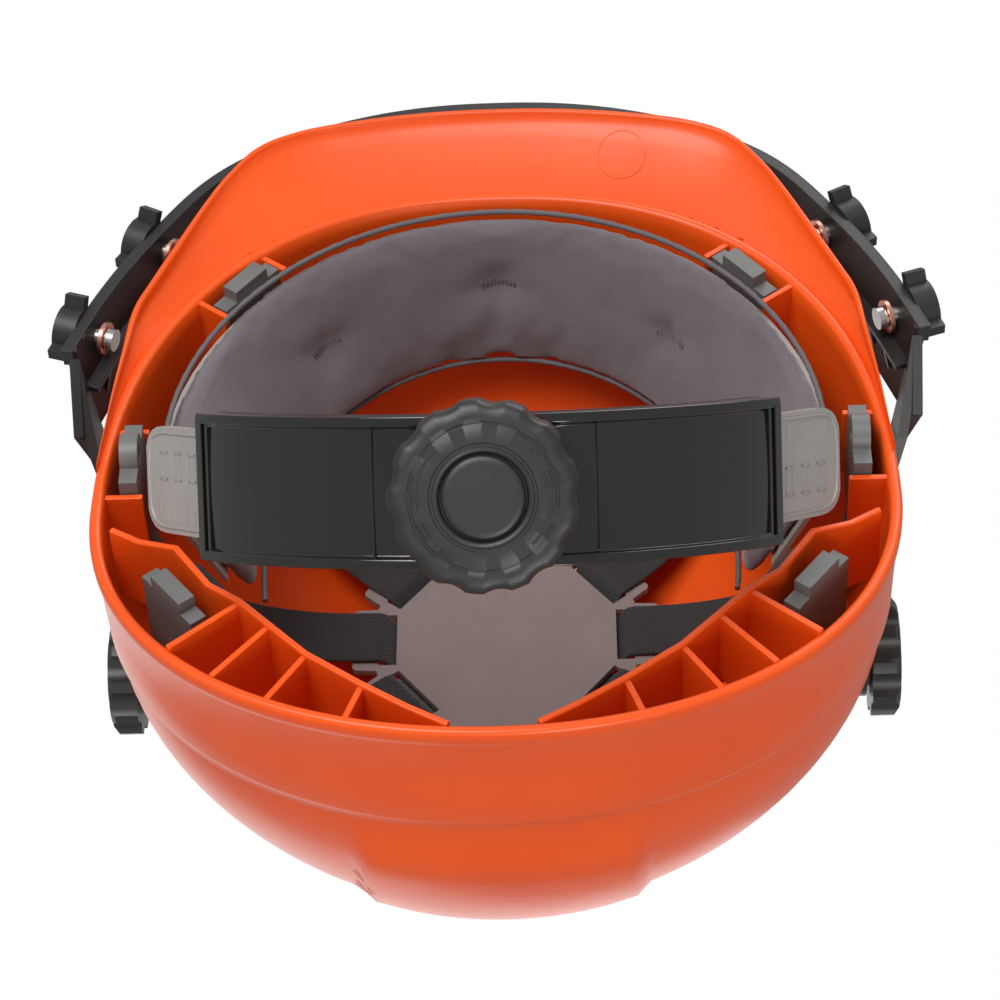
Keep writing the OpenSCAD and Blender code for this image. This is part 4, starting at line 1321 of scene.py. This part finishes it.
        cast = Cast("nape_strap_" + side.word)
        r0, r1 = self.radius, self.radius + self.tongue_t
        cast.tube([[place(a, r, z, run) for r, z in ((r0, lo), (r1, lo), (r1, hi), (r0, hi))] for a, lo, hi,
                   run in stations])
        settle(cast.build(finish, sharp=30, bevel=0.0003), f"tongue_{side.word}", "light_grey",
               f"tongue_{side.word}")
        border = Cast("nape_strap_border_" + side.word)
        path = [(56, z * MM, x * MM) for x,
                z in ((-1, 13.4), (10, 13.4), (24, 13.4), (28, 13), (31, 11.8), (33, 9), (33.6, 5), (33.8, 0),
                      (33.6, -5),
                                                  (33, -9), (31, -11.8), (28, -13), (24, -13.4), (10, -13.4),
                                                  (-1, -13.4))]
        border.tube([[place(a, r1 + dr, z * (1 + dz), run * (1 + dz * 0.5)) for dr,
                      dz in ((-0.0003, -0.05), (0.00035, -0.035), (0.00035, 0.0), (-0.0003, 0.015))]
                     for a, z, run in path])
        for i in range(7):
            x = (2 + i * 4.2) * MM
            z0, z1 = (-0.0115, -0.0075) if i % 2 else (-0.0115, -0.0055)
            border.tube([[place(56, r1 + dr, z0, x + dx) for dx,
                          dr in ((-0.0003, -0.0003), (-0.0003, 0.0002), (0.0003, 0.0002), (0.0003, -0.0003))],
                         [place(56, r1 + dr, z1, x + dx) for dx,
                          dr in ((-0.0003, -0.0003), (-0.0003, 0.0002), (0.0003, 0.0002), (0.0003, -0.0003))]])
        for i in range(3):
            x = (5 + i * 8.5) * MM
            for x0, x1, z0, z1 in ((x, x + 0.0042, 0.000, 0.0006), (x, x + 0.0042, 0.0074, 0.0080),
                                   (x, x + 0.0006, 0.0, 0.0080), (x + 0.0036, x + 0.0042, 0.0, 0.0080)):
                border.tube([[place(56, r1 + dr, z0, xx) for xx,
                              dr in ((x0, -0.0003), (x0, 0.0002), (x1, 0.0002), (x1, -0.0003))],
                             [place(56, r1 + dr, z1, xx) for xx,
                              dr in ((x0, -0.0003), (x0, 0.0002), (x1, 0.0002), (x1, -0.0003))]])
        settle(border.build(ink, sharp=30), f"tongue_{side.word}", "light_grey")

    def make(self, gloss: bpy.types.Material, matte: bpy.types.Material, sheen: bpy.types.Material,
             light: bpy.types.Material) -> None:
        """Build the adjuster."""
        self.housing(gloss)
        self.knob(matte, sheen)
        for side in Side:
            self.tongue(side, light, light)


# ---- the visor carrier ------------------------------------------------------------------
@dataclass
class Carrier:
    """Black frame round the peak with its shelf, ribs and fins."""

    low: float = -0.004
    height: float = 0.028
    lean: float = 0.45

    def stops(self) -> list[tuple[float, float]]:
        """Plan of the wall from the wearer's right to the left, in millimetres."""
        half = [(0, -137), (20, -136), (40, -132), (60, -124.5), (78, -113), (90, -101), (101, -84),
                (111, -66), (119, -48), (126, -28)]
        return [(-x, y) for x, y in reversed(half[1:])] + half

    def at(self, k: float) -> tuple[Vector, Vector]:
        """Plan point and outward direction along the wall, from 0 to 1."""
        x, y = smooth_path(self.stops(), k)
        a, b = smooth_path(self.stops(), max(0, k - 0.004)), smooth_path(self.stops(), min(1, k + 0.004))
        d = Vector((b[0] - a[0], b[1] - a[1], 0)).normalized()
        return Vector((x * MM, y * MM, 0)), Vector((d.y, -d.x, 0))

    def make(self, finish: bpy.types.Material) -> None:
        """Build the frame."""
        cast = Cast("carrier_frame")
        h, t = self.height, self.lean * 0.006
        wall = [(t + 0.0004, 0.0), (t - 0.0029, 0.0), (t - 0.0031, 0.0014), (0.3 * t - 0.003, h * 0.35),
                (-0.5 * t - 0.003, h * 0.7),
                (-t - 0.003, h - 0.0014), (-t - 0.0034, h - 0.0006), (-t - 0.0032, h), (-t, h),
                (-0.5 * t, h * 0.7), (0.3 * t, h * 0.35), (t, 0.0016)]
        cast.tube([[p + n * q + Vector((0, 0, self.low + z)) for q, z in wall] for p,
                   n in (self.at(i / 144) for i in range(145))])
        z = self.low + h * 0.46
        shelf = [(-0.001, z), (-0.0070, z), (-0.0070, z + 0.002), (-0.001, z + 0.002)]
        cast.tube([[p + n * q + Vector((0, 0, zz)) for q, zz in shelf] for p,
                   n in (self.at(i / 144) for i in range(145))])
        edge = [(t + 0.0002, 0.0002), (t + 0.0011, 0.0002), (t + 0.0011, 0.0018), (t, 0.0024)]
        cast.tube([[p + n * q + Vector((0, 0, self.low + zz)) for q, zz in edge] for p,
                   n in (self.at(i / 144) for i in range(145))])
        for i in range(1, 36):
            k = i / 36
            if abs(i - 18) < 2:
                continue
            p, n = self.at(k)
            d = Vector((-n.y, n.x, 0)) * 0.0007
            pts = [p - n * 0.001 + Vector((0, 0, z + 0.001)), p - n * 0.0068 + Vector((0, 0, z + 0.001)),
                   p - n * 0.0066 + Vector((0, 0, z + 0.003)),
                   p - n * 0.0042 + Vector((0, 0, self.low + h - 0.0018)),
                   p - n * 0.001 + Vector((0, 0, self.low + h - 0.0018))]
            cast.slab([q - d for q in pts], d * 2)
        for side in Side:
            for y, x in ((-0.030, 0.1262), (-0.036, 0.1246)):
                cast.block((x - 0.0016 if side.value > 0 else -x - 0.0028, y - 0.0012, self.low + 0.0004),
                           (x + 0.0028 if side.value > 0 else -x + 0.0016, y + 0.0012, self.low + 0.006))
        settle(cast.build(finish, sharp=30, bevel=0.0003), "visor", "matte_black", "carrier")


# ---- studio ---------------------------------------------------------------------------
@dataclass
class Studio:
    """Camera, soft lamps, pale floor and white surround."""

    elevation: float = 45.29
    azimuth: float = 2.19
    roll: float = -3.11
    place: Point = (0.0268, 0.6941, -0.6665)
    lens: float = 118.8

    def axes(self) -> tuple[Vector, Vector, Vector]:
        """Right, up and backward directions of the camera."""
        el, az, roll = (math.radians(v) for v in (self.elevation, self.azimuth, self.roll))
        back = Vector((math.sin(az) * math.cos(el), math.cos(az) * math.cos(el), -math.sin(el)))
        right = (-back).cross(Vector((0, 0, -1))).normalized()
        up = right.cross(-back)
        return (right * math.cos(roll) + up * math.sin(roll), up * math.cos(roll) - right * math.sin(roll),
                back)

    def camera(self) -> None:
        """Place the camera behind and below the upright helmet."""
        right, up, back = self.axes()
        data = bpy.data.cameras.new("camera")
        data.lens = self.lens
        data.sensor_width = 36
        data.clip_start, data.clip_end = 0.02, 20
        made = bpy.data.objects.new("camera", data)
        made.matrix_world = Matrix.Translation(self.place) @ Matrix((right, up, back)).transposed().to_4x4()
        bpy.context.scene.collection.objects.link(made)
        bpy.context.scene.camera = made

    def lamp(self, name: str, place: Point, target: Point, size: tuple[float, float], power: float,
             colour: Point = (1, 1, 1)) -> None:
        """Add a soft rectangular lamp.

        Args:
            name: the lamp's name.
            place: where it hangs.
            target: the point that it faces.
            size: its width and height.
            power: in watts.
            colour: its tint.
        """
        data = bpy.data.lights.new(name, "AREA")
        data.shape = "RECTANGLE"
        data.size, data.size_y = size
        data.energy = power
        data.color = colour
        made = bpy.data.objects.new(name, data)
        away = Vector(place) - Vector(target)
        made.matrix_world = Matrix.Translation(place) @ away.to_track_quat("Z", "Y").to_matrix().to_4x4()
        bpy.context.scene.collection.objects.link(made)

    def surround(self) -> None:
        """White surround for the eye, softer for the lighting."""
        world = bpy.data.worlds.new("surround")
        world.use_nodes = True
        tree = world.node_tree
        tree.nodes.clear()
        out = tree.nodes.new("ShaderNodeOutputWorld")
        mix = tree.nodes.new("ShaderNodeMixShader")
        seen, felt = tree.nodes.new("ShaderNodeBackground"), tree.nodes.new("ShaderNodeBackground")
        path = tree.nodes.new("ShaderNodeLightPath")
        seen.inputs[0].default_value = (1.0, 1.0, 1.0, 1)
        seen.inputs[1].default_value = 1.0
        felt.inputs[0].default_value = (1, 1, 1, 1)
        felt.inputs[1].default_value = 0.42
        tree.links.new(path.outputs["Is Camera Ray"], mix.inputs[0])
        tree.links.new(felt.outputs[0], mix.inputs[1])
        tree.links.new(seen.outputs[0], mix.inputs[2])
        tree.links.new(mix.outputs[0], out.inputs[0])
        bpy.context.scene.world = world

    def floor(self, low: float) -> None:
        """Pale floor under the upright helmet, seen only from above."""
        p = Paint("pale_floor")
        p.finish((0.86, 0.86, 0.86), 0.75 + p.grain(30.0) * 0.1)
        face = p.node("ShaderNodeNewGeometry", out="Backfacing")
        clear = p.tree.nodes.new("ShaderNodeBsdfTransparent")
        mix = p.tree.nodes.new("ShaderNodeMixShader")
        p._feed(mix.inputs[0], face)
        p.tree.links.new(p.skin.outputs[0], mix.inputs[1])
        p.tree.links.new(clear.outputs[0], mix.inputs[2])
        p.tree.links.new(mix.outputs[0], p.out.inputs[0])
        cast = Cast("floor")
        cast.sheet([[(-4, -4, low), (4, -4, low)], [(-4, 4, low), (4, 4, low)]])
        made = cast.build(p.material)
        if made.data.polygons[0].normal.z < 0:
            made.data.flip_normals()
        made.visible_shadow = made.visible_diffuse = made.visible_glossy = made.visible_transmission = False
        made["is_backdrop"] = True

    def lamps(self) -> None:
        """Hang the lamps for the view into the helmet and for the upright views."""
        self.lamp("key_below", (-0.35, 0.25, -1.25), (0, 0, 0.02), (0.9, 0.7), 17)
        self.lamp("window_left", (0.30, 1.25, -0.10), (0, 0.05, -0.02), (0.34, 0.6), 6)
        self.lamp("fill_front", (0.5, -1.1, -0.7), (0, 0, 0), (0.8, 0.8), 7)
        self.lamp("sky", (-0.3, -0.5, 1.5), (0, 0, 0.05), (1.4, 1.4), 8)

    def make(self, low: float) -> None:
        """Set up everything around the helmet."""
        bpy.context.scene.view_settings.view_transform = "Standard"
        self.surround()
        self.floor(low)
        self.lamps()


def main() -> None:
    """Build the helmet from its frame, piece by piece."""
    logging.basicConfig(level=logging.INFO, format="%(message)s")
    random.seed(7)
    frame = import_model()
    cad_low, cad_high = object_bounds()
    studio = Studio()
    studio.camera()
    orange = MouldedOrange().make()
    gloss = MouldedPlastic("gloss_black", (0.006, 0.0055, 0.005), 0.12, 0.02, 1800.0, 0.6, 0.05).make()
    matte = MouldedPlastic("matte_black", (0.016, 0.0155, 0.015), 0.42, 0.5, 2600.0).make()
    light = MouldedPlastic("light_grey", (0.30, 0.285, 0.265), 0.4, 0.2).make()
    clip_grey = MouldedPlastic("grey_clip", (0.12, 0.12, 0.115), 0.45, 0.2).make()
    pad_grey = MouldedPlastic("pad_grey", (0.22, 0.175, 0.165), 0.6, 0.5, 1400.0).make()
    nylon = MouldedPlastic("grey_washer", (0.2, 0.2, 0.2), 0.5, 0.2).make()
    cloth = WovenCloth("sweat_fabric", (0.085, 0.072, 0.08), (0.2, 0.175, 0.19)).make()
    webbing = Webbing().make()
    thread = MouldedPlastic("thread", (0.10, 0.088, 0.095), 0.7, 0.6, 3000.0).make()
    matte_worn = MouldedPlastic("matte_worn", (0.03, 0.029, 0.028), 0.3, 0.2, 2600.0).make()
    steel = Metal("steel", (0.62, 0.6, 0.58)).make()
    copper = Metal("copper_washer", (0.72, 0.36, 0.27), 0.35).make()
    slots = {"orange_shell": orange, "gloss_black": gloss, "matte_black": matte, "light_grey": light,
             "grey_clip": clip_grey, "pad_grey": pad_grey, "grey_washer": nylon, "sweat_fabric": cloth,
             "webbing": webbing, "steel": steel, "copper_washer": copper}
    wears = {part["node"]: part["material_slot"] for part in frame["record"]["subparts"]}
    for name, node in frame["nodes"].items():
        node.data.materials.clear()
        node.data.materials.append(slots[wears[name]])
        soften(node, 30)
    Shell().make(orange)
    Cradle().make(webbing, pad_grey)
    Sweatband().make(cloth, thread)
    Nape().make(gloss, matte, matte_worn, light)
    Carrier().make(matte)
    studio.make(cad_low.z - 0.001)


if __name__ == "__main__":
    main()
